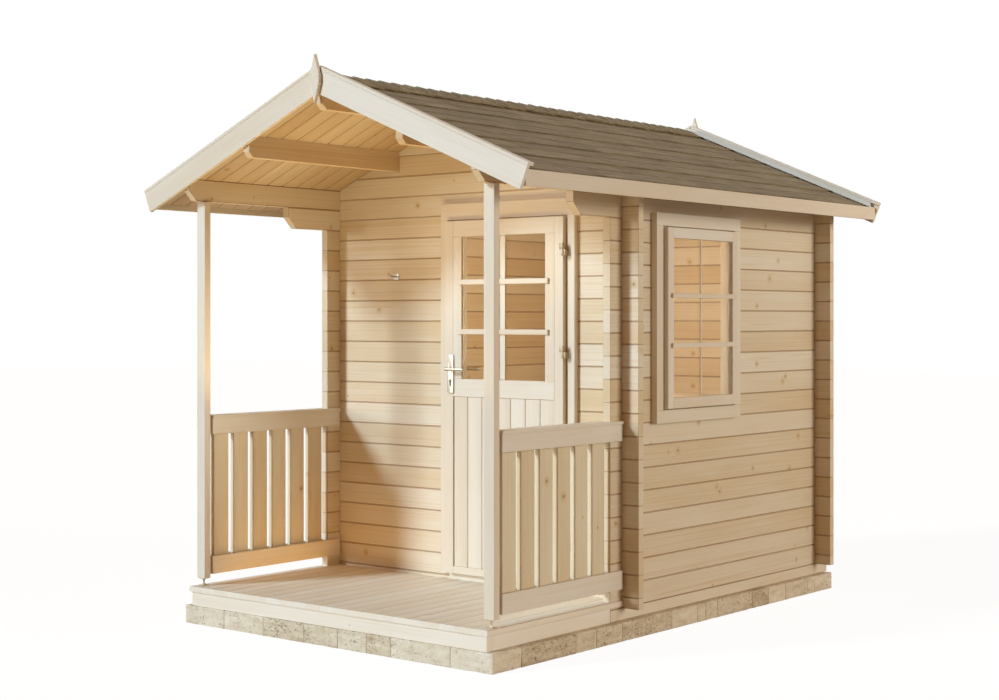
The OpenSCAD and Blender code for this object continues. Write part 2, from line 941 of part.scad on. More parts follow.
// Boarded panel in the lower half of the door
module door_panel() {
    y0 = y_leaf + panel_set;
    color(pale)
        block([leaf_x0 + stile_w + fit, y0, z_leaf + leaf_low_h + fit],
              [leaf_x1 - stile_w - fit, y0 + panel_t, z_mid - fit]);
}

// Glass in the upper half of the door
module door_pane() {
    y0 = y_leaf + door_pane_set;
    color(clear)
        block([leaf_x0 + glass_margin + fit, y0, z_glass + fit],
              [leaf_x1 - glass_margin - fit, y0 + pane_t, z_glass_top - fit]);
}

// A knuckle on the hinge axis, from z upwards
module knuckle(z) {
    translate([hinge_x, hinge_y, z])
        cylinder(r = knuckle_r, h = hinge_h - fit);
}

// Frame halves of the hinges: lower knuckle, pin and a cranked flap on the casing
module frame_hinges() {
    y_face = y_wall - casing_out;
    x_flap = hinge_x + knuckle_r + 2;
    color(steel)
        for (share = hinge_shares) {
            z = z_leaf + share * leaf_h - hinge_h;
            knuckle(z);
            translate([hinge_x, hinge_y, z])
                cylinder(r = hinge_pin_r, h = 2 * hinge_h - fit);
            translate([0, 0, z])
                linear_extrude(hinge_h - fit)
                    polygon([[hinge_x, hinge_y], [x_flap + flap_t, hinge_y],
                             [x_flap + flap_t, y_face - flap_t], [x_flap + flap_w, y_face - flap_t],
                             [x_flap + flap_w, y_face - fit], [x_flap, y_face - fit],
                             [x_flap, hinge_y + flap_t], [hinge_x, hinge_y + flap_t]]);
        }
}

// Leaf halves of the hinges: upper knuckle with its bore and a flap on the leaf
module leaf_hinges() {
    color(steel)
        for (share = hinge_shares) {
            z = z_leaf + share * leaf_h;
            difference() {
                union() {
                    knuckle(z);
                    block([hinge_x - knuckle_r - flap_w, y_leaf - flap_t, z],
                          [hinge_x, y_leaf - hinge_gap / 2, z + hinge_h - fit]);
                }
                translate([hinge_x, hinge_y, z - cut])
                    cylinder(r = hinge_pin_r + hinge_pin_gap, h = hinge_h + 2 * cut);
            }
        }
}

// Outline of a handle plate with eased corners, upwards from the lever's axis
module plate_outline() {
    ease = plate_w / 8;
    low = plate_up - plate_h;
    for (x = [ease - plate_w / 2, plate_w / 2 - ease])
        for (z = [low + ease, plate_up - ease])
            translate([x, z])
                circle(r = ease);
    translate([-plate_w / 2, low + ease])
        square([plate_w, plate_h - 2 * ease]);
    translate([ease - plate_w / 2, low])
        square([plate_w - 2 * ease, plate_h]);
}

// Plates behind the levers, with the spindle's bore and a keyhole
module handle_plates() {
    key_w = spindle_r;
    key_z = z_lever - lever_off * 1.5;
    color(steel)
        difference() {
            for (y = [y_leaf - fit, y_leaf_back + fit + plate_t])
                translate([lever_x, y, z_lever])
                    rotate([90, 0, 0])
                        linear_extrude(plate_t)
                            plate_outline();
            lever_bore();
            translate([lever_x - key_w / 2, y_leaf - lever_off, key_z])
                cube([key_w, leaf_t + 2 * lever_off, 3 * key_w]);
        }
}

// One lever with its half of the spindle: side -1 is outside, 1 is inside
module lever(side) {
    y_face = side < 0 ? y_leaf : y_leaf_back;
    y_mid = (y_leaf + y_leaf_back + side * fit) / 2;
    y_grip = y_face + side * lever_off;
    color(steel) {
        translate([lever_x, min(y_mid, y_grip), z_lever])
            rotate([-90, 0, 0])
                cylinder(r = spindle_r, h = abs(y_grip - y_mid));
        translate([lever_x, min(y_face + side * (plate_t + 1), y_grip), z_lever])
            rotate([-90, 0, 0])
                cylinder(r = lever_r, h = lever_off - plate_t - 1);
        translate([lever_x, y_grip, z_lever])
            sphere(r = lever_r);
        translate([lever_x, y_grip, z_lever])
            rotate([0, 90, 0])
                cylinder(r = lever_r, h = lever_len);
        translate([lever_x + lever_len, y_grip, z_lever])
            sphere(r = lever_r);
    }
}

module door_levers() {
    for (side = [-1, 1])
        lever(side);
}

// Jambs, head and sill of the window, each a casing outside and a stop behind the sash
module window_frame() {
    gap_half = sash_half + swing_gap;
    z_low = z_sash - swing_gap;
    z_high = z_sash_top + swing_gap;
    x_stop = x_sash - fit;
    color(pale) {
        for (side = [-1, 1])
            translate([0, y_window, z_low])
                linear_extrude(z_high - z_low)
                    polygon([
                        [x_in, side * window_half], [x_in, side * (sash_half - stop_lap)],
                        [x_stop, side * (sash_half - stop_lap)], [x_stop, side * gap_half],
                        [x_casing, side * gap_half], [x_casing, side * (window_half + window_casing_lap)],
                        [x_out + fit, side * (window_half + window_casing_lap)],
                        [x_out + fit, side * window_half]
                    ]);
        window_cross_piece(z_low, z_window_cut, z_sash + stop_lap, -1);
        window_cross_piece(z_high, z_window_top - 2 * fit, z_sash_top - stop_lap, 1);
    }
}

// Sill or head of the window: side -1 is the sill, 1 is the head
module window_cross_piece(z_gap, z_cut, z_stop, side) {
    lap = window_half + window_casing_lap;
    x_stop = x_sash - fit;
    z_edge = z_gap + side * fit;
    z_casing = z_gap + side * window_casing_h;
    along = sash_half - stop_lap - fit;
    block([x_out + fit, y_window - lap, min(z_edge, z_casing)],
          [x_casing, y_window + lap, max(z_edge, z_casing)]);
    block([x_in, y_window - window_half, min(z_edge, z_cut)],
          [x_out + 2 * fit, y_window + window_half, max(z_edge, z_cut)]);
    block([x_in, y_window - along, min(z_edge + side, z_stop)],
          [x_stop, y_window + along, max(z_edge + side, z_stop)]);
}

// Stiles and rails of the window sash
module window_sash() {
    color(pale) {
        for (y = [y_window - sash_half, y_window + sash_half - sash_frame_w])
            block([x_sash, y, z_sash], [x_sash_out, y + sash_frame_w, z_sash_top]);
        for (z = [z_sash, z_sash_top - sash_frame_w])
            block([x_sash, y_window - sash_half + sash_frame_w + fit, z],
                  [x_sash_out, y_window + sash_half - sash_frame_w - fit, z + sash_frame_w]);
    }
}

// Glass of the window
module window_pane() {
    half = sash_half - sash_frame_w - fit;
    x1 = x_sash_out - window_pane_set;
    color(clear)
        block([x1 - pane_t, y_window - half, z_sash + sash_frame_w + fit],
              [x1, y_window + half, z_sash_top - sash_frame_w - fit]);
}

// Slatted bench along the back wall, on rails fixed to the side walls and the back wall
module sauna_bench() {
    z_rail = z_bench - bench_slat_t;
    color(pale) {
        for (i = [0:bench_slats - 1]) {
            y = y_bench + i * (bench_slat_w + bench_gap);
            block([-x_in + fit, y, z_rail], [x_in - fit, y + bench_slat_w, z_bench]);
        }
        for (x = [-x_in + fit, -bench_rail / 2, x_in - fit - bench_rail])
            block([x, y_bench, z_rail - bench_rail], [x + bench_rail, y_back_in - fit, z_rail - fit]);
    }
}

// Coat hook on the front wall: a square plate, a peg and its knob
module coat_hook() {
    color(steel)
        translate([-hook_x, y_wall - fit, z_deck + hook_z])
            rotate([90, 0, 0]) {
                translate([-hook_plate_w / 2, -hook_plate_w / 2, 0])
                    cube([hook_plate_w, hook_plate_w, flap_t]);
                cylinder(r = hook_peg_r, h = hook_len);
                translate([0, 0, hook_len])
                    sphere(r = hook_knob_r);
            }
}

stone_plinth();
wall_bearers();
porch_frame();
porch_deck();
room_floor();
left_wall();
right_wall();
front_wall();
back_wall();
front_gable();
back_gable();
left_wall_plate();
right_wall_plate();
ridge_purlin();
left_purlin();
right_purlin();
left_roof_boards();
right_roof_boards();
left_shingles();
right_shingles();
ridge_cap();
front_barge_boards();
rear_barge_boards();
front_finial();
rear_finial();
eaves_boards();
left_post();
right_post();
post_feet();
left_railing();
right_railing();
door_frame();
threshold();
door_leaf();
door_panel();
door_pane();
frame_hinges();
leaf_hinges();
handle_plates();
door_levers();
window_frame();
window_sash();
window_pane();
sauna_bench();
coat_hook();
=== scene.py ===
"""Looks of the outdoor sauna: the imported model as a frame, dressed in spruce, shingle, stone, steel and glass."""
import math
import random

import bmesh
import bpy
from mathutils import Matrix, Vector, noise


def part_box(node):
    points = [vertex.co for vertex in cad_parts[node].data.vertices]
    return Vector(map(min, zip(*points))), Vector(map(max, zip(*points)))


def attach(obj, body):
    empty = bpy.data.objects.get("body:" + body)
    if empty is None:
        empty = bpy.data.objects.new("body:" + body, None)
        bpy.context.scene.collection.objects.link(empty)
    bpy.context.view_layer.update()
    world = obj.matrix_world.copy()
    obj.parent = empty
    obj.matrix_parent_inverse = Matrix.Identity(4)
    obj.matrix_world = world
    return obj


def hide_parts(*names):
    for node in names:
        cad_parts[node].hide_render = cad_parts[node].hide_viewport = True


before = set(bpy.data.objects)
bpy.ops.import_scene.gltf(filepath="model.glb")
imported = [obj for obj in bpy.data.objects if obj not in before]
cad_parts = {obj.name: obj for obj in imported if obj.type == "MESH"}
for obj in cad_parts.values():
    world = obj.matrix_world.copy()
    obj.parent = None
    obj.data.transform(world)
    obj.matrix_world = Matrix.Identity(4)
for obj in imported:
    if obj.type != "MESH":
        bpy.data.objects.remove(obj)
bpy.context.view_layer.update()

scene = bpy.context.scene
scene.view_settings.view_transform = "Standard"

PITCH = math.radians(22.8)
ROOF_T = 0.026
RIDGE_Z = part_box("left_roof_boards")[1].z - ROOF_T / math.cos(PITCH)
SIDES = ((-1, "left"), (1, "right"))
# Gap between pieces that lie against each other
FIT = 0.0003
KNOT_CELLS_PER_M = 4.0
RING_GAP = 0.007
# A wave texture of scale 1 repeats after this length
WAVE_LENGTH = 0.314

# Kinds of node that are used most
MATH = "ShaderNodeMath"
COMBINE = "ShaderNodeCombineXYZ"
STORE = "GeometryNodeStoreNamedAttribute"


# Helpers

def linear(colour):
    """An sRGB hex colour as the linear colour that shaders take."""
    parts = [int(colour[i:i + 2], 16) / 255 for i in (1, 3, 5)]
    return [c / 12.92 if c <= 0.04045 else ((c + 0.055) / 1.055) ** 2.4 for c in parts] + [1.0]


def add(tree, kind, links=None, stops=None, **settings):
    """Adds a node: its settings, a ramp's stops, and what its inputs take: values, outputs or nodes' first outputs."""
    node = tree.nodes.new(kind)
    for name, value in settings.items():
        setattr(node, name, value)
    for key, value in (links or {}).items():
        if isinstance(value, bpy.types.Node):
            value = value.outputs[0]
        if isinstance(value, bpy.types.NodeSocket):
            tree.links.new(value, node.inputs[key])
        else:
            node.inputs[key].default_value = value
    if stops:
        ramp = node.color_ramp.elements
        while len(ramp) < len(stops):
            ramp.new(0.5)
        for element, (place, colour) in zip(ramp, stops):
            element.position = place
            element.color = colour
    return node


def new_material(name):
    """An empty node material and its tree."""
    material = bpy.data.materials.new(name)
    material.use_nodes = True
    material.node_tree.nodes.clear()
    return material, material.node_tree


def finish_material(tree, shader):
    """Joins a shader to the material's surface."""
    add(tree, "ShaderNodeOutputMaterial", {"Surface": shader})


def seen_rays(tree):
    """1 for rays that show the background, straight, in gloss or through glass, and 0 for those that carry light."""
    ray = add(tree, "ShaderNodeLightPath").outputs
    seen = add(tree, MATH, {0: ray["Is Camera Ray"], 1: ray["Is Transmission Ray"]}, operation="MAXIMUM")
    seen = add(tree, MATH, {0: seen, 1: ray["Is Glossy Ray"]}, operation="MAXIMUM")
    plain = add(tree, MATH, {0: ray["Diffuse Depth"], 1: 0.5}, operation="LESS_THAN")
    return add(tree, MATH, {0: seen, 1: plain}, operation="MULTIPLY")


# Materials

def spruce(name, pale, deep, joint_shade_colour, tone_share, knot_share, ring_share, roughness):
    """Spruce boards: rings cut lengthways give faint lines, fibres give streaks, and branches give brown knots.

    Every board carries its own grain: metres along, across and through it, and a tone from 0 to 1.
    """
    material, tree = new_material(name)
    grain = add(tree, "ShaderNodeAttribute", attribute_name="grain").outputs["Vector"]
    tone = add(tree, "ShaderNodeAttribute", attribute_name="tone").outputs["Fac"]
    joint_shade = add(tree, "ShaderNodeAttribute", attribute_name="joint_shade").outputs["Fac"]
    # Knots of 6 to 20 mm, about one in each metre and a half, with the fibres bent round them
    flat = add(tree, "ShaderNodeMapping", {"Vector": grain, "Scale": (1.0, 1.0, 0.0)})
    cells = add(tree, "ShaderNodeTexVoronoi", {"Vector": flat, "Scale": KNOT_CELLS_PER_M}, voronoi_dimensions="2D")
    size = add(tree, "ShaderNodeSeparateColor", {0: cells.outputs["Color"]})
    reach = add(tree, MATH, {0: size, 1: 0.028 * knot_share, 2: 0.012}, operation="MULTIPLY_ADD")
    near = add(tree, MATH, {0: cells.outputs["Distance"], 1: reach}, operation="DIVIDE")
    grown = add(tree, MATH, {0: size.outputs[2], 1: 1.0 - 0.4 * knot_share}, operation="GREATER_THAN")
    heart = add(tree, "ShaderNodeMapRange", {0: near, 1: 1.4, 2: 0.3, 3: 0.0, 4: 0.65},
                interpolation_type="SMOOTHSTEP")
    heart = add(tree, MATH, {0: heart, 1: grown}, operation="MULTIPLY")
    halo = add(tree, "ShaderNodeMapRange", {0: near, 1: 4.0, 2: 0.8, 3: 0.0, 4: 1.0}, interpolation_type="SMOOTHSTEP")
    halo = add(tree, MATH, {0: halo, 1: grown}, operation="MULTIPLY")
    # Growth rings of 3 mm would be under a pixel, so they are drawn 7 mm apart and stretched along the board
    bent = add(tree, "ShaderNodeMapping", {"Vector": grain, "Scale": (0.05, 1.0, 1.0)})
    swell = add(tree, "ShaderNodeVectorMath", {0: bent, 1: (0.0, 1.0, 1.0)}, operation="MULTIPLY")
    push = add(tree, "ShaderNodeVectorMath", {0: swell, "Scale": halo}, operation="SCALE")
    around = add(tree, "ShaderNodeVectorMath", {0: bent, 1: push}, operation="ADD")
    rings = add(tree, "ShaderNodeTexWave",
                {"Vector": around, "Scale": WAVE_LENGTH / RING_GAP, "Distortion": 5.0, "Detail": 2.0,
                 "Detail Scale": 0.35, "Detail Roughness": 0.6},
                wave_type="RINGS", rings_direction="X", wave_profile="SAW")
    late = add(tree, "ShaderNodeMapRange", {0: rings.outputs["Fac"], 1: 0.45, 2: 1.0, 3: 0.0, 4: 1.0},
               interpolation_type="SMOOTHSTEP")
    # Fibres: streaks about 10 mm wide and half a metre long
    fibre_room = add(tree, "ShaderNodeMapping", {"Vector": grain, "Scale": (2.0, 95.0, 95.0)})
    fibres = add(tree, "ShaderNodeTexNoise", {"Vector": fibre_room, "Scale": 1.0, "Detail": 4.0, "Roughness": 0.65})
    # Slow changes of tone over a hand's width
    cloud_room = add(tree, "ShaderNodeMapping", {"Vector": grain, "Scale": (1.4, 9.0, 9.0)})
    clouds = add(tree, "ShaderNodeTexNoise", {"Vector": cloud_room, "Scale": 1.0, "Detail": 2.0})
    depth = add(tree, MATH, {0: tone, 1: tone_share}, operation="MULTIPLY")
    for value, share in ((fibres.outputs["Fac"], 0.40), (clouds.outputs["Fac"], 0.60), (late, ring_share),
                         (halo, 0.45)):
        depth = add(tree, MATH, {0: value, 1: share, 2: depth}, operation="MULTIPLY_ADD")
    level = add(tree, "ShaderNodeMapRange", {0: depth, 1: 0.32, 2: 1.20, 3: 0.0, 4: 1.0})
    board = add(tree, "ShaderNodeMix", {0: level, 6: linear(pale), 7: linear(deep)}, data_type="RGBA")
    knot = add(tree, "ShaderNodeMix", {0: size.outputs[1], 6: linear("#8A5831"), 7: linear("#C49A6C")},
               data_type="RGBA")
    knotted = add(tree, "ShaderNodeMix", {0: heart, 6: board.outputs[2], 7: knot.outputs[2]}, data_type="RGBA")
    # The eased faces of the joints are multiplied by the colour of the painted shade
    with_joint_shade = add(tree, "ShaderNodeMix", {0: joint_shade, 6: knotted.outputs[2], 7: linear(joint_shade_colour)},
                data_type="RGBA", blend_type="MULTIPLY")
    bump = add(tree, "ShaderNodeBump", {"Height": fibres.outputs["Fac"], "Strength": 0.10, "Distance": 0.001})
    dull = add(tree, "ShaderNodeMapRange", {0: fibres.outputs["Fac"], 1: 0.2, 2: 0.8, 3: roughness - 0.08,
                                            4: roughness + 0.08})
    shader = add(tree, "ShaderNodeBsdfPrincipled", {"Base Color": with_joint_shade.outputs[2], "Roughness": dull,
                                                    "Normal": bump})
    finish_material(tree, shader)
    return material


def bitumen_shingle(name):
    """Bitumen shingle: crushed slate grit in mixed greys and browns, dull, with each tab a little different."""
    material, tree = new_material(name)
    place = add(tree, "ShaderNodeTexCoord").outputs["Object"]
    tone = add(tree, "ShaderNodeAttribute", attribute_name="tone").outputs["Fac"]
    # Grit of 1 mm is drawn 6 mm across so that it shows
    grit = add(tree, "ShaderNodeTexNoise", {"Vector": place, "Scale": 1 / 0.006, "Detail": 3.0, "Roughness": 0.7})
    # Blends of grit in streaks about 25 mm wide and 200 mm long along the strips
    patch_room = add(tree, "ShaderNodeMapping", {"Vector": place, "Scale": (48.0, 5.0, 48.0)})
    patches = add(tree, "ShaderNodeTexNoise", {"Vector": patch_room, "Scale": 1.0, "Detail": 3.0, "Roughness": 0.6})
    mix = add(tree, MATH, {0: grit.outputs["Fac"], 1: 0.5}, operation="MULTIPLY")
    for value, share in ((patches.outputs["Fac"], 0.5), (tone, 0.08)):
        mix = add(tree, MATH, {0: value, 1: share, 2: mix}, operation="MULTIPLY_ADD")
    colour = add(tree, "ShaderNodeValToRGB", {0: mix},
                 stops=[(0.36, linear("#5E503B")), (0.49, linear("#827156")), (0.60, linear("#968568")),
                        (0.74, linear("#B3A387"))])
    bump = add(tree, "ShaderNodeBump", {"Height": grit.outputs["Fac"], "Strength": 0.6, "Distance": 0.002})
    shader = add(tree, "ShaderNodeBsdfPrincipled", {"Base Color": colour, "Roughness": 0.9, "Normal": bump})
    finish_material(tree, shader)
    return material


def travertine(name):
    """Travertine blocks: cream stone with soft bands, small pits and brown specks, honed but not polished."""
    material, tree = new_material(name)
    place = add(tree, "ShaderNodeAttribute", attribute_name="grain").outputs["Vector"]
    tone = add(tree, "ShaderNodeAttribute", attribute_name="tone").outputs["Fac"]
    # Beds of the stone, about 30 mm apart
    bed_room = add(tree, "ShaderNodeMapping", {"Vector": place, "Scale": (7.0, 7.0, 34.0)})
    beds = add(tree, "ShaderNodeTexNoise", {"Vector": bed_room, "Scale": 1.0, "Detail": 5.0, "Roughness": 0.65})
    # Pits of 3 to 8 mm, flattened along the beds
    pit_room = add(tree, "ShaderNodeMapping", {"Vector": place, "Scale": (60.0, 60.0, 110.0)})
    pits = add(tree, "ShaderNodeTexNoise", {"Vector": pit_room, "Scale": 1.0, "Detail": 4.0, "Roughness": 0.75})
    zone = add(tree, "ShaderNodeTexNoise", {"Vector": place, "Scale": 9.0, "Detail": 1.0})
    rough = add(tree, MATH, {0: tone, 1: 0.4, 2: zone.outputs["Fac"]}, operation="MULTIPLY_ADD")
    open_pit = add(tree, MATH, {0: rough, 1: -0.17, 2: pits.outputs["Fac"]}, operation="MULTIPLY_ADD")
    hollow = add(tree, "ShaderNodeMapRange", {0: open_pit, 1: 0.315, 2: 0.225, 3: 0.0, 4: 1.0},
                 interpolation_type="SMOOTHSTEP")
    # Clouds of grey and cream, about 30 mm across
    mottle = add(tree, "ShaderNodeTexNoise", {"Vector": place, "Scale": 1 / 0.03, "Detail": 4.0, "Roughness": 0.7})
    cloud = add(tree, MATH, {0: mottle.outputs["Fac"], 1: 0.55, 2: -0.275}, operation="MULTIPLY_ADD")
    bedded = add(tree, MATH, {0: beds.outputs["Fac"], 1: cloud}, operation="ADD")
    depth = add(tree, MATH, {0: tone, 1: 0.30, 2: bedded}, operation="MULTIPLY_ADD")
    colour = add(tree, "ShaderNodeValToRGB", {0: depth},
                 stops=[(0.36, linear("#F2E8D5")), (0.56, linear("#E6D9C1")), (0.76, linear("#D6C5A9")),
                        (0.96, linear("#B7A283"))])
    pitted = add(tree, "ShaderNodeMix", {0: hollow, 6: colour, 7: linear("#8E7858")}, data_type="RGBA")
    height = add(tree, MATH, {0: hollow, 1: -1.0, 2: pits.outputs["Fac"]}, operation="MULTIPLY_ADD")
    bump = add(tree, "ShaderNodeBump", {"Height": height, "Strength": 0.5, "Distance": 0.003})
    shader = add(tree, "ShaderNodeBsdfPrincipled", {"Base Color": pitted.outputs[2], "Roughness": 0.75,
                                                    "Normal": bump})
    finish_material(tree, shader)
    return material


def steel(name, colour, shade, roughness, brushed):
    """Steel: bright metal whose fine brushing or zinc spangle softens what it mirrors."""
    material, tree = new_material(name)
    place = add(tree, "ShaderNodeTexCoord").outputs["Object"]
    room = add(tree, "ShaderNodeMapping", {"Vector": place, "Scale": brushed})
    marks = add(tree, "ShaderNodeTexNoise", {"Vector": room, "Scale": 1.0, "Detail": 3.0})
    tint = add(tree, "ShaderNodeMix", {0: marks.outputs["Fac"], 6: linear(colour), 7: linear(shade)},
               data_type="RGBA")
    dull = add(tree, "ShaderNodeMapRange", {0: marks.outputs["Fac"], 1: 0.3, 2: 0.7, 3: roughness - 0.06,
                                            4: roughness + 0.06})
    shader = add(tree, "ShaderNodeBsdfPrincipled", {"Base Color": tint.outputs[2], "Metallic": 1.0,
                                                    "Roughness": dull})
    finish_material(tree, shader)
    return material


def window_glass(name):
    """Float glass: clear, with a faint film that shows only in its gloss; lamps shine dimly through it.

    A low index keeps the thin panes from mirroring their own edges.
    """
    material, tree = new_material(name)
    place = add(tree, "ShaderNodeTexCoord").outputs["Object"]
    film = add(tree, "ShaderNodeTexNoise", {"Vector": place, "Scale": 1 / 0.12, "Detail": 2.0})
    dull = add(tree, "ShaderNodeMapRange", {0: film.outputs["Fac"], 1: 0.35, 2: 0.75, 3: 0.0, 4: 0.05})
    glass = add(tree, "ShaderNodeBsdfPrincipled",
                {"Base Color": linear("#F7FAF8"), "Roughness": dull, "IOR": 1.2, "Transmission Weight": 1.0})
    clear = add(tree, "ShaderNodeBsdfTransparent", {0: linear("#6F6659")})
    ray = add(tree, "ShaderNodeLightPath")
    both = add(tree, "ShaderNodeMixShader", {0: ray.outputs["Is Shadow Ray"], 1: glass, 2: clear})
    finish_material(tree, both)
    return material


# Spruce: pale and deep colour, colour of the painted shade in the joints, shares of tone, knots and rings, and
# roughness
log_spruce = spruce("profiled_spruce_logs", "#EEE5D5", "#DAC199", "#B48E66", 0.52, 1.0, 0.22, 0.62)
planed_spruce = spruce("planed_spruce", "#EFE8DC", "#DEC8A8", "#B08A63", 0.26, 0.25, 0.10, 0.58)
slat_spruce = spruce("planed_slat_spruce", "#EFE4CD", "#D8BF94", "#B08A63", 0.36, 0.9, 0.20, 0.60)
# The deck's spruce is paler than the other planed spruce, as painted light on the lit boards
lit_deck_spruce = spruce("planed_deck_spruce_painted_light", "#FAF4E9", "#EDDCC1", "#B98D5F", 0.30, 0.4, 0.12, 0.60)
# The roof boarding's spruce is darker and more orange than the rest, as painted shade under the roof
shaded_roof_spruce = spruce("roof_boarding_spruce_painted_shade", "#D6C2A3", "#B49062", "#6B3F1D", 0.34, 0.9, 0.22, 0.62)
purlin_spruce = spruce("sawn_purlin_spruce", "#E6D1B0", "#C49E6E", "#B08A63", 0.34, 1.0, 0.22, 0.62)
shingle = bitumen_shingle("bitumen_shingle")
stone = travertine("travertine")
zinc_steel = steel("yellow_passivated_zinc", "#C4B296", "#9E8C70", 0.48, (300.0, 300.0, 300.0))
satin_steel = steel("satin_stainless_steel", "#CFC6B6", "#B8AD9A", 0.42, (900.0, 900.0, 60.0))
# Dark steel for the plugs that fill the keyholes as their painted shade
keyhole_shade_steel = steel("keyhole_shade_dark_steel", "#5E5850", "#453F38", 0.45, (600.0, 600.0, 600.0))
glass = window_glass("float_glass")


# Pieces from solids

def solids_of(node):
    """The separate solids of a CAD node, with each flat face in one piece."""
    whole = bmesh.new()
    whole.from_mesh(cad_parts[node].data)
    bmesh.ops.remove_doubles(whole, verts=whole.verts, dist=2e-5)
    bmesh.ops.dissolve_limit(whole, angle_limit=0.01, verts=whole.verts, edges=whole.edges)
    left = set(whole.faces)
    solids = []
    while left:
        start = min(left, key=lambda face: face.index)
        island, waiting = {start}, [start]
        while waiting:
            for edge in waiting.pop().edges:
                for face in edge.link_faces:
                    if face not in island:
                        island.add(face)
                        waiting.append(face)
        left -= island
        single = bmesh.new()
        points = {}
        for face in sorted(island, key=lambda face: face.index):
            for vert in face.verts:
                if vert not in points:
                    points[vert] = single.verts.new(vert.co)
            single.faces.new([points[vert] for vert in face.verts])
        single.normal_update()
        solids.append(single)
    whole.free()
    return solids


def block(low, high):
    """A new box between two corners."""
    solid = bmesh.new()
    size = Vector(high) - Vector(low)
    middle = (Vector(high) + Vector(low)) / 2
    bmesh.ops.create_cube(solid, size=1.0, matrix=Matrix.Translation(middle) @ Matrix.Diagonal((*size, 1.0)))
    return solid


def prism(outline, low, high):
    """A new solid over an outline, given anticlockwise as seen from above, between two heights."""
    solid = bmesh.new()
    floor_ring = [solid.verts.new((x, y, low)) for x, y in outline]
    top_ring = [solid.verts.new((x, y, high)) for x, y in outline]
    solid.faces.new(reversed(floor_ring))
    solid.faces.new(top_ring)
    for i in range(len(outline)):
        j = (i + 1) % len(outline)
        solid.faces.new((floor_ring[i], floor_ring[j], top_ring[j], top_ring[i]))
    solid.normal_update()
    return solid


def ease_edges(solid, width):
    """Rounds the sharp edges of a solid and marks the new faces."""
    mark = solid.faces.layers.int.new("eased")
    sharp = [e for e in solid.edges if len(e.link_faces) == 2 and e.calc_face_angle(0.0) > 0.5]
    made = bmesh.ops.bevel(solid, geom=sharp, offset=width, offset_type="OFFSET", segments=2, profile=0.5,
                           affect="EDGES", clamp_overlap=True)
    for face in made["faces"]:
        face[mark] = 1
    solid.normal_update()
    return mark


def take_up(solid, points, faces):
    """Adds a solid's points and faces to those of a piece, and frees the solid."""
    first = len(points)
    solid.verts.index_update()
    points.extend(vert.co.copy() for vert in solid.verts)
    faces.extend([first + vert.index for vert in face.verts] for face in solid.faces)
    solid.free()


def new_mesh(name, points, faces, sharp=None, grain=(), tone=(), joint_shade=()):
    """A mesh with the attributes that its material reads, smooth up to a sharp angle where one is given."""
    mesh = bpy.data.meshes.new(name)
    mesh.from_pydata(points, [], faces)
    for label, kind, domain, values in (("grain", "FLOAT_VECTOR", "POINT", grain), ("tone", "FLOAT", "POINT", tone),
                                        ("joint_shade", "FLOAT", "FACE", joint_shade)):
        if values:
            layer = mesh.attributes.new(label, kind, domain)
            layer.data.foreach_set("vector" if kind == "FLOAT_VECTOR" else "value", values)
    if sharp:
        mesh.shade_smooth()
        mesh.set_sharp_from_angle(angle=math.radians(sharp))
    return mesh


def grain_frame(solid):
    """A board's own directions: along its longest edge, and through its broadest side."""
    longest = max(solid.edges, key=lambda e: e.calc_length())
    along = (longest.verts[1].co - longest.verts[0].co).normalized()
    sides = {}
    for face in solid.faces:
        if abs(face.normal.dot(along)) < 0.2:
            key = tuple(round(abs(c), 1) for c in face.normal)
            area, normal = sides.get(key, (0.0, face.normal.copy()))
            sides[key] = (area + face.calc_area(), normal)
    through = max(sides.values(), key=lambda pair: pair[0])[1]
    through = (through - along * through.dot(along)).normalized()
    return along, through.cross(along), through


def wood_piece(name, solids, body, material, ease=0.002, seed=1, joint_shaded=True, nodes=()):
    """One piece of many boards: eased edges, and for each board its grain, tone and painted shade in its joints."""
    draw = random.Random(seed)
    points, faces, grain, tone, joint_shade = [], [], [], [], []
    for solid in solids:
        along, across, through = grain_frame(solid)
        middle = sum((v.co for v in solid.verts), Vector()) / len(solid.verts)
        shift = draw.uniform(0.0, 60.0)
        pith = Vector((draw.uniform(-0.03, 0.03), draw.choice((-1, 1)) * draw.uniform(0.02, 0.07)))
        shade = draw.random()
        mark = ease_edges(solid, ease)
        for vert in solid.verts:
            reach = vert.co - middle
            grain.extend((reach.dot(along) + shift, reach.dot(across) - pith.x, reach.dot(through) - pith.y))
            tone.append(shade)
        joint_shade.extend(float(face[mark]) if joint_shaded else 0.0 for face in solid.faces)
        take_up(solid, points, faces)
    mesh = new_mesh(name, points, faces, grain=grain, tone=tone, joint_shade=joint_shade)
    return place_piece(name, mesh, body, material, nodes)


def place_piece(name, mesh, body, material, nodes=()):
    """Puts a finished mesh in the scene as a piece of the object."""
    mesh.materials.clear()
    mesh.materials.append(material)
    piece = bpy.data.objects.new(name, mesh)
    scene.collection.objects.link(piece)
    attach(piece, body)
    if nodes:
        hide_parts(*nodes)
    return piece


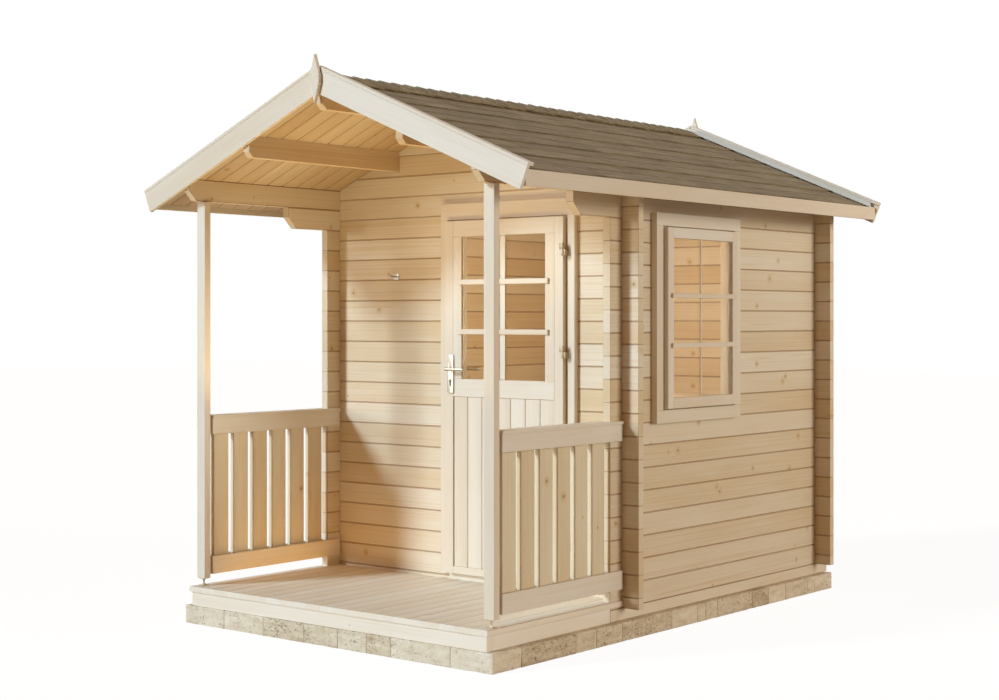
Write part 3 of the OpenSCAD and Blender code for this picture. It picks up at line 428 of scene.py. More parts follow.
# Timber taken from the frame: nodes, slot, finish, width of the eased edges, painted shade in the joints
TIMBER = (
    (("left_wall", "right_wall", "back_wall", "back_gable"), "spruce", log_spruce, 0.001, True),
    (("front_wall", "front_gable"), "planed_spruce", log_spruce, 0.001, True),
    (("wall_bearers",), "spruce", log_spruce, 0.002, True),
    (("porch_frame",), "spruce", lit_deck_spruce, 0.002, False),
    (("left_wall_plate", "right_wall_plate"), "spruce", log_spruce, 0.002, True),
    (("front_barge_boards", "rear_barge_boards", "front_finial", "rear_finial", "eaves_boards"), "planed_spruce",
     planed_spruce, 0.002, False),
    (("left_post", "right_post"), "planed_spruce", planed_spruce, 0.003, False),
    (("door_frame",), "planed_spruce", planed_spruce, 0.002, False),
    (("threshold",), "planed_spruce", planed_spruce, 0.003, False),
    (("door_leaf", "window_frame", "window_sash"), "planed_spruce", planed_spruce, 0.002, False),
    (("sauna_bench",), "planed_spruce", planed_spruce, 0.004, False),
)
seed = 0
for nodes, slot, finish, ease, joint_shaded in TIMBER:
    for node in nodes:
        seed += 1
        body = "door" if node == "door_leaf" else "cabin"
        wood_piece(node + "_timber", solids_of(node), body, finish, ease, seed, joint_shaded, (node,))

# Purlins: the slanting cut under each end is small, so that a square end shows below the barge boards
PURLIN_CUT = 0.052
NEAR = 0.001
for number, node in enumerate(("ridge_purlin", "left_purlin", "right_purlin")):
    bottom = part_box(node)[0].z
    purlin = solids_of(node)
    for vert in purlin[0].verts:
        if vert.co.z - bottom < NEAR:
            vert.co.y += math.copysign(PURLIN_CUT / 2, vert.co.y)
        elif abs(vert.co.z - bottom - PURLIN_CUT) < NEAR:
            vert.co.z -= PURLIN_CUT / 2
    purlin[0].normal_update()
    wood_piece(node + "_timber", purlin, "cabin", purlin_spruce, 0.002, 31 + number, False, (node,))


# Rows of boards

def new_tree(name, counts, sizes):
    """An empty tree with named inputs, whole numbers, sizes and a material, and the outputs that give them."""
    tree = bpy.data.node_groups.new(name, "GeometryNodeTree")
    kinds = [(label, "Int") for label in counts] + [(label, "Float") for label in sizes] + [("Material", "Material")]
    for label, kind in kinds:
        tree.interface.new_socket(label, in_out="INPUT", socket_type="NodeSocket" + kind)
    tree.interface.new_socket("Geometry", in_out="OUTPUT", socket_type="NodeSocketGeometry")
    return tree, add(tree, "NodeGroupInput").outputs


def finish_tree(tree, shape, material):
    """Dresses the shape that a tree has made and puts it out."""
    dressed = add(tree, "GeometryNodeSetMaterial", {"Geometry": shape, "Material": material})
    add(tree, "NodeGroupOutput", {0: dressed})
    return tree


def board_row_tree():
    """Boards side by side along X, each running along Y, with eased edges, a tone and a grain of its own."""
    tree, given = new_tree("board_row", ("Boards", "Seed"),
                           ("Pitch", "Width", "Thickness", "Length", "Ease", "JointShade"))
    outline = add(tree, "GeometryNodeCurvePrimitiveQuadrilateral", {0: given["Width"], 1: given["Thickness"]})
    eased = add(tree, "GeometryNodeFilletCurve", {"Curve": outline, "Count": 2, "Radius": given["Ease"]}, mode="POLY")
    half = add(tree, MATH, {0: given["Length"], 1: 0.5}, operation="MULTIPLY")
    back = add(tree, MATH, {0: given["Length"], 1: -0.5}, operation="MULTIPLY")
    start = add(tree, COMBINE, {1: back})
    end = add(tree, COMBINE, {1: half})
    path = add(tree, "GeometryNodeCurvePrimitiveLine", {"Start": start, "End": end})
    board = add(tree, "GeometryNodeCurveToMesh", {0: path, 1: eased, "Fill Caps": True})
    here = add(tree, "GeometryNodeInputPosition")
    parts = add(tree, "ShaderNodeSeparateXYZ", {0: here})
    own = add(tree, COMBINE, {0: parts.outputs[1], 1: parts, 2: parts.outputs[2]})
    grained = add(tree, STORE, {"Geometry": board, "Name": "grain", "Value": own},
                  data_type="FLOAT_VECTOR", domain="POINT")
    # The eased edges, which face neither up nor sideways, carry painted shade in the joints
    facing = add(tree, "GeometryNodeInputNormal")
    ways = add(tree, "ShaderNodeSeparateXYZ", {0: facing})
    slant = add(tree, MATH, {0: ways, 1: ways.outputs[2]}, operation="MULTIPLY")
    slant = add(tree, MATH, {0: slant}, operation="ABSOLUTE")
    joint = add(tree, MATH, {0: slant, 1: 0.1}, operation="GREATER_THAN")
    joint_shaded = add(tree, MATH, {0: joint, 1: given["JointShade"]}, operation="MULTIPLY")
    grained = add(tree, STORE, {"Geometry": grained, "Name": "joint_shade", "Value": joint_shaded},
                  data_type="FLOAT", domain="FACE")
    step = add(tree, COMBINE, {0: given["Pitch"]})
    span = add(tree, MATH, {0: given["Boards"], 1: 1.0}, operation="SUBTRACT")
    edge = add(tree, MATH, {0: span, 1: given["Pitch"]}, operation="MULTIPLY")
    first = add(tree, MATH, {0: edge, 1: -0.5}, operation="MULTIPLY")
    corner = add(tree, COMBINE, {0: first})
    places = add(tree, "GeometryNodeMeshLine", {"Count": given["Boards"], "Start Location": corner,
                                                "Offset": step}, mode="OFFSET")
    row = add(tree, "GeometryNodeInstanceOnPoints", {"Points": places, "Instance": grained})
    chance = add(tree, "FunctionNodeRandomValue", {"Seed": given["Seed"]}, data_type="FLOAT")
    toned = add(tree, STORE, {"Geometry": row, "Name": "tone", "Value": chance.outputs[1]},
                data_type="FLOAT", domain="INSTANCE")
    real = add(tree, "GeometryNodeRealizeInstances", {0: toned})
    old = add(tree, "GeometryNodeInputNamedAttribute", {0: "grain"}, data_type="FLOAT_VECTOR")
    tone = add(tree, "GeometryNodeInputNamedAttribute", {0: "tone"}, data_type="FLOAT")
    apart = add(tree, "ShaderNodeVectorMath", {0: (60.0, 0.05, 0.03), "Scale": tone}, operation="SCALE")
    moved = add(tree, "ShaderNodeVectorMath", {0: old, 1: apart}, operation="ADD")
    shifted = add(tree, STORE, {"Geometry": real, "Name": "grain", "Value": moved},
                  data_type="FLOAT_VECTOR", domain="POINT")
    return finish_tree(tree, shifted, given["Material"])


def grow(name, tree, sizes):
    """Runs a tree with these sizes and gives its result as a plain mesh."""
    carrier = bpy.data.objects.new(name + "_maker", bpy.data.meshes.new(name + "_maker"))
    scene.collection.objects.link(carrier)
    run = carrier.modifiers.new("grow", "NODES")
    run.node_group = tree
    for item in tree.interface.items_tree:
        if item.item_type == "SOCKET" and item.in_out == "INPUT" and item.name in sizes:
            run[item.identifier] = sizes[item.name]
    bpy.context.view_layer.update()
    ready = carrier.evaluated_get(bpy.context.evaluated_depsgraph_get())
    mesh = bpy.data.meshes.new_from_object(ready)
    mesh.name = name
    bpy.data.objects.remove(carrier)
    return mesh


board_row = board_row_tree()


def board_piece(name, place, count, pitch, thickness, length, finish, node, gap, ease, joint_shade, seed, body="cabin"):
    """A row of boards put in its place."""
    mesh = grow(name, board_row, {"Boards": count, "Pitch": pitch, "Width": pitch - gap, "Thickness": thickness,
                                  "Length": length, "Ease": ease, "JointShade": joint_shade, "Seed": seed, "Material": finish})
    mesh.transform(place)
    return place_piece(name, mesh, body, finish, (node,))


# Porch deck: boards front to back
DECK_BOARD = 0.0975
low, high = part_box("porch_deck")
count = round((high.x - low.x) / DECK_BOARD)
board_piece("porch_deck_boards", Matrix.Translation((low + high) / 2), count, (high.x - low.x) / count,
            high.z - low.z, high.y - low.y, lit_deck_spruce, "porch_deck", gap=0.0006, ease=0.0016, joint_shade=0.6, seed=41)

# Room floor: boards side to side
FLOOR_BOARD = 0.096
low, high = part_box("room_floor")
count = round((high.y - low.y) / FLOOR_BOARD)
board_piece("room_floor_boards", Matrix.Translation((low + high) / 2) @ Matrix.Rotation(math.pi / 2, 4, "Z"), count,
            (high.y - low.y) / count, high.z - low.z, high.x - low.x, planed_spruce, "room_floor", gap=0.001,
            ease=0.002, joint_shade=0.5, seed=42)

# Roof boarding: boards down each slope, with open V joints below
ROOF_BOARD = 0.11
for side, hand in SIDES:
    node = hand + "_roof_boards"
    low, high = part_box(node)
    slope_len = (high.x - low.x) / math.cos(PITCH) - ROOF_T * math.tan(PITCH)
    count = round((high.y - low.y) / ROOF_BOARD)
    turn = Matrix.Rotation(side * PITCH, 4, "Y") @ Matrix.Rotation(math.pi / 2, 4, "Z")
    board_piece(hand + "_roof_boarding", Matrix.Translation((low + high) / 2) @ turn, count, (high.y - low.y) / count,
                ROOF_T, slope_len, shaded_roof_spruce, node, gap=0.0006, ease=0.004, joint_shade=0.4, seed=43 + side)

# Lower door panel: upright boards
DOOR_BOARDS = 7
low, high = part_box("door_panel")
board_piece("door_panel_boards", Matrix.Translation((low + high) / 2) @ Matrix.Rotation(math.pi / 2, 4, "X"),
            DOOR_BOARDS, (high.x - low.x) / DOOR_BOARDS, high.y - low.y, high.z - low.z, planed_spruce, "door_panel",
            gap=0.0008, ease=0.003, joint_shade=0.4, seed=47, body="door")

# Railings: paired rails, each thinner where it laps the log ends, a handrail on top and upright slats between
RAIL_LAP = 0.018
HANDRAIL_T = 0.016
LOW_RAIL_H = 0.093
TOP_RAIL_H = 0.083
SLATS = 6
SLAT_W = 0.1
SLAT_T = 0.030
SLAT_PLAY = 0.0004
LIP = 0.004
log_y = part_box("wall_bearers")[0].y - FIT
for side, hand in SIDES:
    node = hand + "_railing"
    low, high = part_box(node)
    post_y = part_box(hand + "_post")[1].y
    mid_x = (low.x + high.x) / 2
    half = (high.x - low.x) / 2
    inner = half - RAIL_LAP
    solids = []
    for face in (-1, 1):
        plan = [(face * half, low.y), (face * half, high.y), (face * inner, high.y), (face * inner, log_y),
                (face * SLAT_T / 2, log_y), (face * SLAT_T / 2, low.y)]
        plan = [(mid_x + x, y) for x, y in (plan if face > 0 else reversed(plan))]
        solids.append(prism(plan, low.z, low.z + LOW_RAIL_H))
        solids.append(prism(plan, high.z - HANDRAIL_T - TOP_RAIL_H, high.z - HANDRAIL_T - FIT))
    cap = [(half + LIP, low.y), (half + LIP, high.y + LIP), (inner, high.y + LIP), (inner, log_y), (-inner, log_y),
           (-inner, high.y + LIP), (-half - LIP, high.y + LIP), (-half - LIP, low.y)]
    solids.append(prism([(mid_x + x, y) for x, y in cap], high.z - HANDRAIL_T, high.z))
    wood_piece(node + "_rails", solids, "cabin", planed_spruce, 0.0018, 71 + side, False, (node,))
    gap = (log_y + FIT - post_y - SLATS * SLAT_W) / (SLATS + 1)
    slat_len = high.z - HANDRAIL_T - 2 * FIT - low.z
    turn = Matrix(((0, 0, 1, 0), (1, 0, 0, 0), (0, 1, 0, 0), (0, 0, 0, 1)))
    middle = Vector((mid_x, (log_y + post_y) / 2, low.z + slat_len / 2))
    board_piece(node + "_slats", Matrix.Translation(middle) @ turn, SLATS, SLAT_W + gap, SLAT_T - SLAT_PLAY, slat_len,
                slat_spruce, node, gap=gap, ease=0.002, joint_shade=0.0, seed=75 + side)


# Roof covering

def slope_place(side, along, down, lift):
    """The frame of a roof slope: X along the ridge, Y up the slope, Z out of it."""
    up = Vector((-side * math.cos(PITCH), 0.0, math.sin(PITCH)))
    out = Vector((side * math.sin(PITCH), 0.0, math.cos(PITCH)))
    origin = Vector((0.0, along, RIDGE_Z)) - up * down + out * lift
    turn = Matrix((Vector((0.0, side, 0.0)), up, out)).transposed().to_4x4()
    return Matrix.Translation(origin) @ turn


def shingle_tree():
    """Courses of shingle tabs: each tab lies on the course below, and every second course is doubled."""
    tree, given = new_tree("shingle_courses", ("Courses", "Tabs", "Seed"),
                           ("Exposure", "Tab", "Gap", "Lap", "Thin", "Thick", "Rise", "Start", "Run"))
    length = add(tree, MATH, {0: given["Tabs"], 1: given["Tab"]}, operation="MULTIPLY")
    columns = add(tree, MATH, {0: given["Tabs"], 1: 1.0}, operation="ADD")
    count = add(tree, MATH, {0: given["Courses"], 1: columns}, operation="MULTIPLY")
    points = add(tree, "GeometryNodePoints", {"Count": count})
    index = add(tree, "GeometryNodeInputIndex")
    row = add(tree, MATH, {0: index, 1: columns}, operation="DIVIDE")
    row = add(tree, MATH, {0: row}, operation="FLOOR")
    column = add(tree, MATH, {0: index, 1: columns}, operation="MODULO")
    odd = add(tree, MATH, {0: row, 1: 2.0}, operation="MODULO")
    # Each course is moved along by its own part of a tab, so that the joints seldom meet
    chance = add(tree, "FunctionNodeRandomValue", {2: 0.2, 3: 0.8, "ID": row, "Seed": given["Seed"]},
                 data_type="FLOAT")
    shift = add(tree, MATH, {0: column, 1: chance.outputs[1]}, operation="SUBTRACT")
    middle = add(tree, MATH, {0: shift, 1: 0.5}, operation="ADD")
    along = add(tree, MATH, {0: middle, 1: given["Tab"]}, operation="MULTIPLY")
    half = add(tree, MATH, {0: length, 1: -0.5, 2: along}, operation="MULTIPLY_ADD")
    up = add(tree, MATH, {0: row, 1: given["Exposure"], 2: given["Start"]}, operation="MULTIPLY_ADD")
    spot = add(tree, COMBINE, {0: half, 1: up})
    set_out = add(tree, "GeometryNodeSetPosition", {"Geometry": points, "Position": spot})
    # One tab: a slab of unit thickness from its butt at Y 0, bent at the next butt
    wide = add(tree, MATH, {0: given["Tab"], 1: given["Gap"]}, operation="SUBTRACT")
    deep = add(tree, MATH, {0: given["Exposure"], 1: given["Lap"]}, operation="ADD")
    size = add(tree, COMBINE, {0: wide, 1: deep, 2: 1.0})
    slab = add(tree, "GeometryNodeMeshCube", {"Size": size, "Vertices X": 5, "Vertices Y": 3, "Vertices Z": 2})
    mid_deep = add(tree, MATH, {0: deep, 1: 0.5}, operation="MULTIPLY")
    raised = add(tree, COMBINE, {1: mid_deep, 2: 0.5})
    tab = add(tree, "GeometryNodeTransform", {"Geometry": slab, "Translation": raised})
    thick = add(tree, "ShaderNodeMix", {0: odd, 2: given["Thin"], 3: given["Thick"]})
    scale = add(tree, COMBINE, {0: 1.0, 1: 1.0, 2: thick})
    laid = add(tree, "GeometryNodeInstanceOnPoints", {"Points": set_out, "Instance": tab, "Scale": scale})
    luck = add(tree, "FunctionNodeRandomValue", {"Seed": given["Seed"]}, data_type="FLOAT")
    toned = add(tree, STORE, {"Geometry": laid, "Name": "tone", "Value": luck.outputs[1]},
                data_type="FLOAT", domain="INSTANCE")
    ups = add(tree, STORE, {"Geometry": toned, "Name": "butt", "Value": up}, data_type="FLOAT", domain="INSTANCE")
    real = add(tree, "GeometryNodeRealizeInstances", {0: ups})
    # The butt is lifted by the course below, the ends are cut at the barge boards and the top at the ridge
    here = add(tree, "GeometryNodeInputPosition")
    spots = add(tree, "ShaderNodeSeparateXYZ", {0: here})
    from_butt = add(tree, "GeometryNodeInputNamedAttribute", {0: "butt"}, data_type="FLOAT")
    above = add(tree, MATH, {0: spots.outputs[1], 1: from_butt}, operation="SUBTRACT")
    lift = add(tree, "ShaderNodeMapRange", {0: above, 1: 0.0, 2: given["Exposure"], 3: given["Rise"], 4: 0.0})
    wobble = add(tree, "ShaderNodeTexNoise", {"Vector": here, "Scale": 9.0, "Detail": 2.0})
    uneven = add(tree, MATH, {0: wobble.outputs["Fac"], 1: -0.5}, operation="ADD")
    rough = add(tree, MATH, {0: uneven, 1: 0.004, 2: lift}, operation="MULTIPLY_ADD")
    high_z = add(tree, MATH, {0: spots.outputs[2], 1: rough}, operation="ADD")
    low_z = add(tree, MATH, {0: high_z, 1: 0.0}, operation="MAXIMUM")
    ragged = add(tree, MATH, {0: uneven, 1: 0.012, 2: spots.outputs[1]}, operation="MULTIPLY_ADD")
    inside = add(tree, "ShaderNodeClamp", {0: ragged, 1: 0.0, 2: given["Run"]})
    end = add(tree, MATH, {0: length, 1: 0.5}, operation="MULTIPLY")
    start = add(tree, MATH, {0: length, 1: -0.5}, operation="MULTIPLY")
    cut = add(tree, "ShaderNodeClamp", {0: spots, 1: start, 2: end})
    final = add(tree, COMBINE, {0: cut, 1: inside, 2: low_z})
    shaped = add(tree, "GeometryNodeSetPosition", {"Geometry": real, "Position": final})
    return finish_tree(tree, shaped, given["Material"])


COURSES = 12
TABS = 12
SHINGLE_LIFT = 0.006
shingle_courses = shingle_tree()
for side, hand in SIDES:
    node = hand + "_shingles"
    low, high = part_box(node)
    run = max(abs(low.x), abs(high.x)) / math.cos(PITCH)
    mesh = grow(node + "_tabs", shingle_courses,
                {"Courses": COURSES, "Tabs": TABS, "Exposure": run / (COURSES - 1), "Tab": (high.y - low.y) / TABS,
                 "Gap": 0.003, "Lap": 0.04, "Thin": 0.0055, "Thick": 0.008, "Rise": 0.005, "Start": -0.066,
                 "Run": run, "Seed": 5 + side, "Material": shingle})
    mesh.transform(slope_place(side, (low.y + high.y) / 2, run, ROOF_T + SHINGLE_LIFT))
    place_piece(node + "_tabs", mesh, "cabin", shingle, (node,))


def ridge_tree():
    """Caps folded over the ridge, each lapping the one behind it."""
    tree, given = new_tree("ridge_caps", ("Caps", "Seed"), ("Pitch", "Length", "Half", "Thickness", "Lift", "Slope"))
    wide = add(tree, MATH, {0: given["Half"], 1: 2.0}, operation="MULTIPLY")
    size = add(tree, COMBINE, {0: wide, 1: given["Length"], 2: given["Thickness"]})
    slab = add(tree, "GeometryNodeMeshCube", {"Size": size, "Vertices X": 9, "Vertices Y": 2, "Vertices Z": 2})
    here = add(tree, "GeometryNodeInputPosition")
    spots = add(tree, "ShaderNodeSeparateXYZ", {0: here})
    off = add(tree, MATH, {0: spots}, operation="ABSOLUTE")
    round_off = add(tree, MATH, {0: off, 1: 0.012, 2: 0.02}, operation="SMOOTH_MAX")
    drop = add(tree, MATH, {0: round_off, 1: given["Slope"]}, operation="MULTIPLY")
    fold = add(tree, MATH, {0: spots.outputs[2], 1: drop}, operation="SUBTRACT")
    tilt = add(tree, MATH, {0: spots.outputs[1], 1: given["Length"]}, operation="DIVIDE")
    rise = add(tree, MATH, {0: 0.5, 1: tilt}, operation="SUBTRACT")
    high = add(tree, MATH, {0: rise, 1: given["Lift"], 2: fold}, operation="MULTIPLY_ADD")
    spot = add(tree, COMBINE, {0: spots, 1: spots.outputs[1], 2: high})
    edged = add(tree, STORE, {"Geometry": slab, "Name": "to_front", "Value": rise}, data_type="FLOAT", domain="POINT")
    cap = add(tree, "GeometryNodeSetPosition", {"Geometry": edged, "Position": spot})
    step = add(tree, COMBINE, {1: given["Pitch"]})
    span = add(tree, MATH, {0: given["Caps"], 1: 1.0}, operation="SUBTRACT")
    reach = add(tree, MATH, {0: span, 1: given["Pitch"]}, operation="MULTIPLY")
    first = add(tree, MATH, {0: reach, 1: -0.5}, operation="MULTIPLY")
    corner = add(tree, COMBINE, {1: first})
    places = add(tree, "GeometryNodeMeshLine", {"Count": given["Caps"], "Start Location": corner,
                                                "Offset": step}, mode="OFFSET")
    lean = add(tree, "FunctionNodeRandomValue", {0: (-0.01, -0.012, -0.012), 1: (0.01, 0.012, 0.012),
                                                 "Seed": given["Seed"]}, data_type="FLOAT_VECTOR")
    laid = add(tree, "GeometryNodeInstanceOnPoints", {"Points": places, "Instance": cap, "Rotation": lean})
    luck = add(tree, "FunctionNodeRandomValue", {"Seed": given["Seed"]}, data_type="FLOAT")
    toned = add(tree, STORE, {"Geometry": laid, "Name": "tone", "Value": luck.outputs[1]},
                data_type="FLOAT", domain="INSTANCE")
    real = add(tree, "GeometryNodeRealizeInstances", {0: toned})
    # Each cap is paler towards its front edge
    to_front = add(tree, "GeometryNodeInputNamedAttribute", {0: "to_front"}, data_type="FLOAT")
    tone = add(tree, "GeometryNodeInputNamedAttribute", {0: "tone"}, data_type="FLOAT")
    pale = add(tree, MATH, {0: to_front, 1: 1.3, 2: tone}, operation="MULTIPLY_ADD")
    pale = add(tree, MATH, {0: pale, 1: 0.5}, operation="SUBTRACT")
    edges = add(tree, STORE, {"Geometry": real, "Name": "tone", "Value": pale}, data_type="FLOAT", domain="POINT")
    return finish_tree(tree, edges, given["Material"])


# Ridge caps: what shows of one, its lap, what both ends leave free, its share of the frame's cap in width,
# how much steeper than the roof it is folded, and its depth under the top of the frame's cap
CAP_SHOWN = 0.096
CAP_LAP = 0.045
CAP_ENDS = 0.05
CAP_SHARE = 0.72
CAP_FOLD = 0.15
CAP_DEPTH = 0.013
low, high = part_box("ridge_cap")
caps = round((high.y - low.y) / CAP_SHOWN)
cap_pitch = (high.y - low.y - CAP_ENDS) / caps
mesh = grow("ridge_caps", ridge_tree(),
            {"Caps": caps, "Pitch": cap_pitch, "Length": cap_pitch + CAP_LAP, "Half": high.x * CAP_SHARE,
             "Thickness": 0.008, "Lift": 0.010, "Slope": math.tan(PITCH) + CAP_FOLD, "Seed": 8, "Material": shingle})
mesh.transform(Matrix.Translation((0.0, (low.y + high.y) / 2, high.z - CAP_DEPTH)))
place_piece("ridge_caps", mesh, "cabin", shingle, ("ridge_cap",))


# Plinth of stone blocks

STRIP = 0.21
STONE_JOINT = 0.0003
STONE_FACET = 0.022


def stone_solid(low, high, draw):
    """A sawn block: edges worn round, faces a little uneven."""
    solid = block(low, high)
    ease_edges(solid, draw.uniform(0.002, 0.004))
    size = Vector(high) - Vector(low)
    for axis in range(3):
        cuts = max(1, int(size[axis] / STONE_FACET))
        for step in range(1, cuts):
            at, normal = Vector(), Vector()
            at[axis] = low[axis] + size[axis] * step / cuts
            normal[axis] = 1.0
            bmesh.ops.bisect_plane(solid, geom=solid.verts[:] + solid.edges[:] + solid.faces[:], plane_co=at,
                                   plane_no=normal, dist=1e-5)
    solid.normal_update()
    seat = Vector((draw.uniform(0, 50), draw.uniform(0, 50), draw.uniform(0, 50)))
    # Dents about 70 and 22 mm across, which only go inwards
    for vert in solid.verts:
        dent = noise.noise(vert.co * 14.0 + seat) * 0.0022 + noise.noise(vert.co * 45.0 + seat) * 0.0010
        vert.co += vert.normal * (min(0.0, dent) - 0.0006)
    return solid, seat


def stone_piece(name, spans, node):
    """All the blocks of the plinth as one piece, each with its own tone and bedding."""
    draw = random.Random(21)
    points, faces, grain, tone = [], [], [], []
    for low, high in spans:
        solid, seat = stone_solid(low, high, draw)
        tone += [draw.random() ** 2] * len(solid.verts)
        for vert in solid.verts:
            grain.extend(vert.co + seat)
        take_up(solid, points, faces)
    mesh = new_mesh(name, points, faces, 40.0, grain, tone)
    return place_piece(name, mesh, "cabin", stone, (node,))


low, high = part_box("stone_plinth")
front_joints = [low.x, -0.743, -0.45, -0.16, 0.073, 0.265, 0.42, 0.79, high.x]
rear_joints = [low.x, -0.81, -0.52, -0.33, -0.02, 0.24, 0.47, 0.66, high.x]
side_joints = [low.y + d for d in (STRIP, 0.6255, 0.7925, 1.0085, 1.2145, 1.45, 1.6925, 1.7705, 1.8925, 2.2485,
                                   2.4255, 2.6145, 2.8705)] + [high.y - STRIP]
spans = []
for joints, y0, y1 in ((front_joints, low.y, low.y + STRIP), (rear_joints, high.y - STRIP, high.y)):
    spans += [((a + STONE_JOINT, y0, low.z), (b - STONE_JOINT, y1, high.z)) for a, b in zip(joints, joints[1:])]
for x0, x1 in ((low.x, low.x + STRIP), (high.x - STRIP, high.x)):
    spans += [((x0, a + STONE_JOINT, low.z), (x1, b - STONE_JOINT, high.z))
              for a, b in zip(side_joints, side_joints[1:]) if b > a]
stone_piece("plinth_stones", spans, "stone_plinth")


# Glazing bars, planted on the outside of the door and the window, with the upright ones close to the panes

BAR_T = 0.012
BAR_LAP = 0.026
DOOR_BAR_H = 0.027
DOOR_BARS_Z = (1.511, 1.774)
DOOR_UPRIGHT_W = 0.034
WINDOW_BAR_H = 0.025
WINDOW_BARS_Z = (1.444, 1.700)
WINDOW_UPRIGHT_W = 0.012


def bars(name, body, low_high, seed):
    """Planed bars across a pane."""
    return wood_piece(name, [block(a, b) for a, b in low_high], body, planed_spruce, 0.002, seed,
                      False)


low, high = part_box("door_pane")
leaf_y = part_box("door_leaf")[0].y
mid_x = (low.x + high.x) / 2
half = DOOR_UPRIGHT_W / 2
door_bars = [((low.x - BAR_LAP, leaf_y - BAR_T, z), (high.x + BAR_LAP, leaf_y - FIT, z + DOOR_BAR_H))
             for z in DOOR_BARS_Z]
door_bars += [((mid_x - half, leaf_y + 0.001, low.z + 0.002), (mid_x + half, low.y - FIT, high.z - 0.002))]
bars("door_glazing_bars", "door", door_bars, 61)

low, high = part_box("window_pane")
sash_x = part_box("window_sash")[1].x
mid_y = (low.y + high.y) / 2
half = WINDOW_UPRIGHT_W / 2
window_bars = [((sash_x + FIT, low.y - BAR_LAP, z), (sash_x + BAR_T, high.y + BAR_LAP, z + WINDOW_BAR_H))
               for z in WINDOW_BARS_Z]
window_bars += [((high.x + FIT, mid_y - half, low.z - 0.01), (high.x + 0.006, mid_y + half, high.z + 0.01))]
bars("window_glazing_bars", "cabin", window_bars, 62)


# Steel fittings: the frame's shapes with softened edges

def fitting(node, body, finish, ease):
    """A steel piece with its edges taken off and its round parts smooth."""
    points, faces = [], []
    for solid in solids_of(node):
        ease_edges(solid, ease)
        take_up(solid, points, faces)
    mesh = new_mesh(node + "_steel", points, faces, 30.0)
    return place_piece(node + "_steel", mesh, body, finish, (node,))


fitting("post_feet", "cabin", zinc_steel, 0.0006)
fitting("frame_hinges", "cabin", zinc_steel, 0.0005)
fitting("leaf_hinges", "door", zinc_steel, 0.0005)
fitting("handle_plates", "door", satin_steel, 0.0008)
fitting("door_levers", "lever", satin_steel, 0.0015)
fitting("coat_hook", "cabin", satin_steel, 0.0006)


# The key way's middle below the top of the plate, its radius, the tongue under it, and how far it stands out and in
LOCK_DROP = 0.1395
LOCK_R = 0.0085
TONGUE_W = 0.009
TONGUE_H = 0.027
LOCK_OUT = 0.0012
LOCK_IN = 0.0002


def keyhole_shade_plugs(name, node):
    """Dark plugs in the keyholes of the handle plates, as painted shade of the keyholes, standing a little out of the
    plates: a round key way over a narrow tongue.
    """
    low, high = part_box(node)
    middle = ((low.x + high.x) / 2, 0.0, high.z - LOCK_DROP)
    upright = Matrix.Translation(middle) @ Matrix.Rotation(math.pi / 2, 4, "X")
    ring = [(LOCK_R * math.cos(a), LOCK_R * math.sin(a)) for a in
            (math.radians(-58.0 + 296.0 * step / 20) for step in range(21))]
    ring += [(-TONGUE_W / 2, -TONGUE_H), (TONGUE_W / 2, -TONGUE_H)]
    points, faces = [], []
    for front, back in ((low.y - LOCK_OUT, low.y + LOCK_IN), (high.y - LOCK_IN, high.y + LOCK_OUT)):
        solid = prism(ring, -back, -front)
        ease_edges(solid, 0.0003)
        solid.transform(upright)
        take_up(solid, points, faces)
    return place_piece(name, new_mesh(name, points, faces), "door", keyhole_shade_steel)


keyhole_shade_plugs("keyhole_shade_plugs", "handle_plates")


# Camera at the photo's place: level, with the frame moved down by 31.32 of the photo's 999 pixels

front_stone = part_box("stone_plinth")[0].y
camera_data = bpy.data.cameras.new("view")
camera_data.sensor_width = 36.0
camera_data.lens = 61.04
camera_data.shift_y = -31.32 / 999
camera = bpy.data.objects.new("view", camera_data)
camera.location = (5.842, front_stone - 5.849, 1.5935)
camera.rotation_euler = (math.radians(90.0), 0.0, math.radians(39.1447))
scene.collection.objects.link(camera)
scene.camera = camera

# Floor: pale, partly self-lit for the eye so that it stays white, and dark enough where the shadow falls

FLOOR_REACH = 40.0
corners = [(x * FLOOR_REACH, y * FLOOR_REACH, 0.0) for x, y in ((-1, -1), (1, -1), (1, 1), (-1, 1))]
floor_mesh = new_mesh("floor", corners, [(0, 1, 2, 3)])
floor = bpy.data.objects.new("floor", floor_mesh)
scene.collection.objects.link(floor)
floor_paint, tree = new_material("matt_white_floor")
matt = add(tree, "ShaderNodeBsdfDiffuse", {0: linear("#C8BCA8")})
lit = add(tree, "ShaderNodeEmission", {0: linear("#FFFFFF"), 1: 1.25})
share = add(tree, MATH, {0: seen_rays(tree), 1: 0.75}, operation="MULTIPLY")
finish_material(tree, add(tree, "ShaderNodeMixShader", {0: share, 1: matt, 2: lit}))
floor_mesh.materials.append(floor_paint)

# Light: a dim warm room, a low sun from the front left with its pale halo, and a broad soft lamp on the right

world = bpy.data.worlds.new("room_light")
scene.world = world
world.use_nodes = True
tree = world.node_tree
tree.nodes.clear()
fill = add(tree, "ShaderNodeBackground", {0: linear("#FFA257"), 1: 0.15})
white = add(tree, "ShaderNodeBackground", {0: linear("#FFFFFF"), 1: 1.0})
both = add(tree, "ShaderNodeMixShader", {0: seen_rays(tree), 1: fill, 2: white})
add(tree, "ShaderNodeOutputWorld", {"Surface": both})


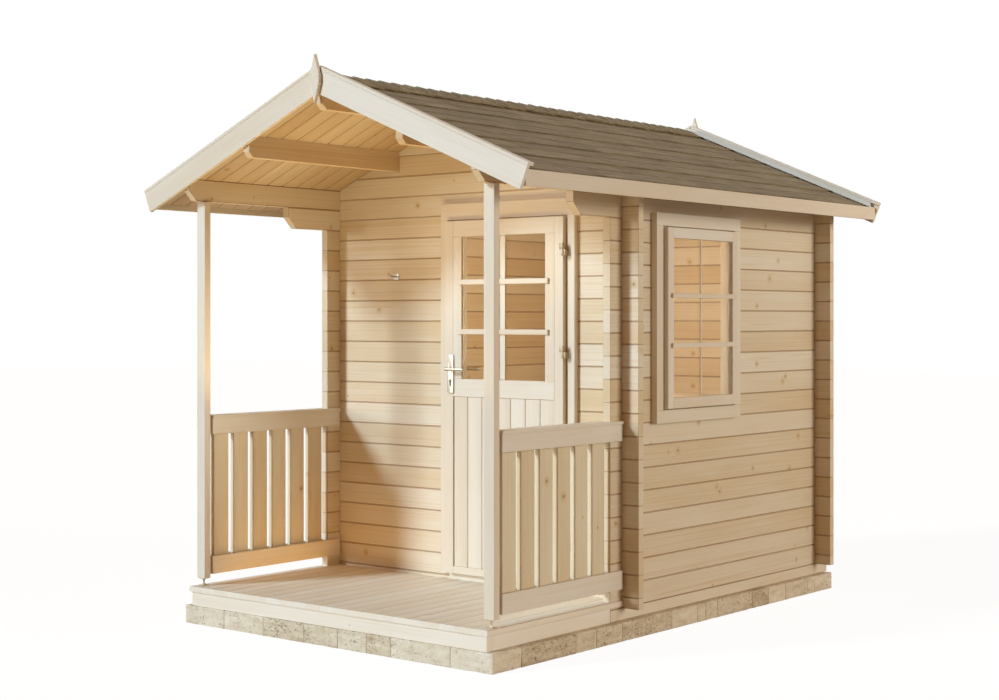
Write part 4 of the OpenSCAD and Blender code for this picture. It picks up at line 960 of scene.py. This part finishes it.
def new_lamp(name, kind, power, colour, way=(0.0, 0.0, -1.0), place=(0.0, 0.0, 0.0), **settings):
    """A lamp at a place that shines along a way."""
    data = bpy.data.lights.new(name, kind)
    data.energy = power
    data.color = linear(colour)[:3]
    for key, value in settings.items():
        setattr(data, key, value)
    lamp = bpy.data.objects.new(name, data)
    lamp.location = place
    lamp.rotation_euler = Vector(way).to_track_quat("-Z", "Y").to_euler()
    scene.collection.objects.link(lamp)
    return lamp


SUN_HEIGHT = math.radians(26.0)
sun_way = Vector((0.47, 0.88, 0.0)).normalized() * math.cos(SUN_HEIGHT) - Vector((0.0, 0.0, math.sin(SUN_HEIGHT)))
new_lamp("key_lamp", "SUN", 2.32, "#D7F0FF", sun_way, angle=math.radians(11.0))
new_lamp("sky_lamp", "SUN", 0.88, "#F3F2EC", (0.47, 0.88, -0.09), angle=math.radians(14.0))
new_lamp("side_lamp", "SUN", 1.28, "#FCFAEC", (-0.95, -0.28, -0.19), angle=math.radians(22.0))

# Soft lamps near the object: one in the room, warm light off the deck and up into the roof, and pale light along the
# top of the right wall; none of them shows itself
low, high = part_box("porch_deck")
deck_middle = (-0.66, (low.y + high.y) / 2, high.z + 0.012)
near_lamps = [new_lamp("room_lamp", "POINT", 23.0, "#FFEAC8", place=(0.25, 0.20, 1.80), shadow_soft_size=0.3)]
for name, power, colour, wide, deep, spread, place, way in (
        ("deck_glow", 1.5, "#FFC878", 0.6, 0.8, 180.0, deck_middle, (0.0, 0.0, 1.0)),
        ("roof_glow", 7.3, "#FFE4A6", 1.7, 0.4, 106.0, (0.0, low.y + 0.02, 1.05), (0.0, 0.24, 1.0)),
        ("wall_glow", 14.0, "#FFF4E2", 2.4, 0.5, 180.0, (3.0, 2.7, 2.65), (-0.85, -0.45, -0.3))):
    near_lamps.append(new_lamp(name, "AREA", power, colour, way, place, shape="RECTANGLE", size=wide, size_y=deep,
                               spread=math.radians(spread)))
for lamp in near_lamps:
    lamp.visible_camera = lamp.visible_glossy = lamp.visible_transmission = False

# Panes: the frame's own shapes, of glass

for node in ("door_pane", "window_pane"):
    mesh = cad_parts[node].data
    mesh.materials.clear()
    mesh.materials.append(glass)
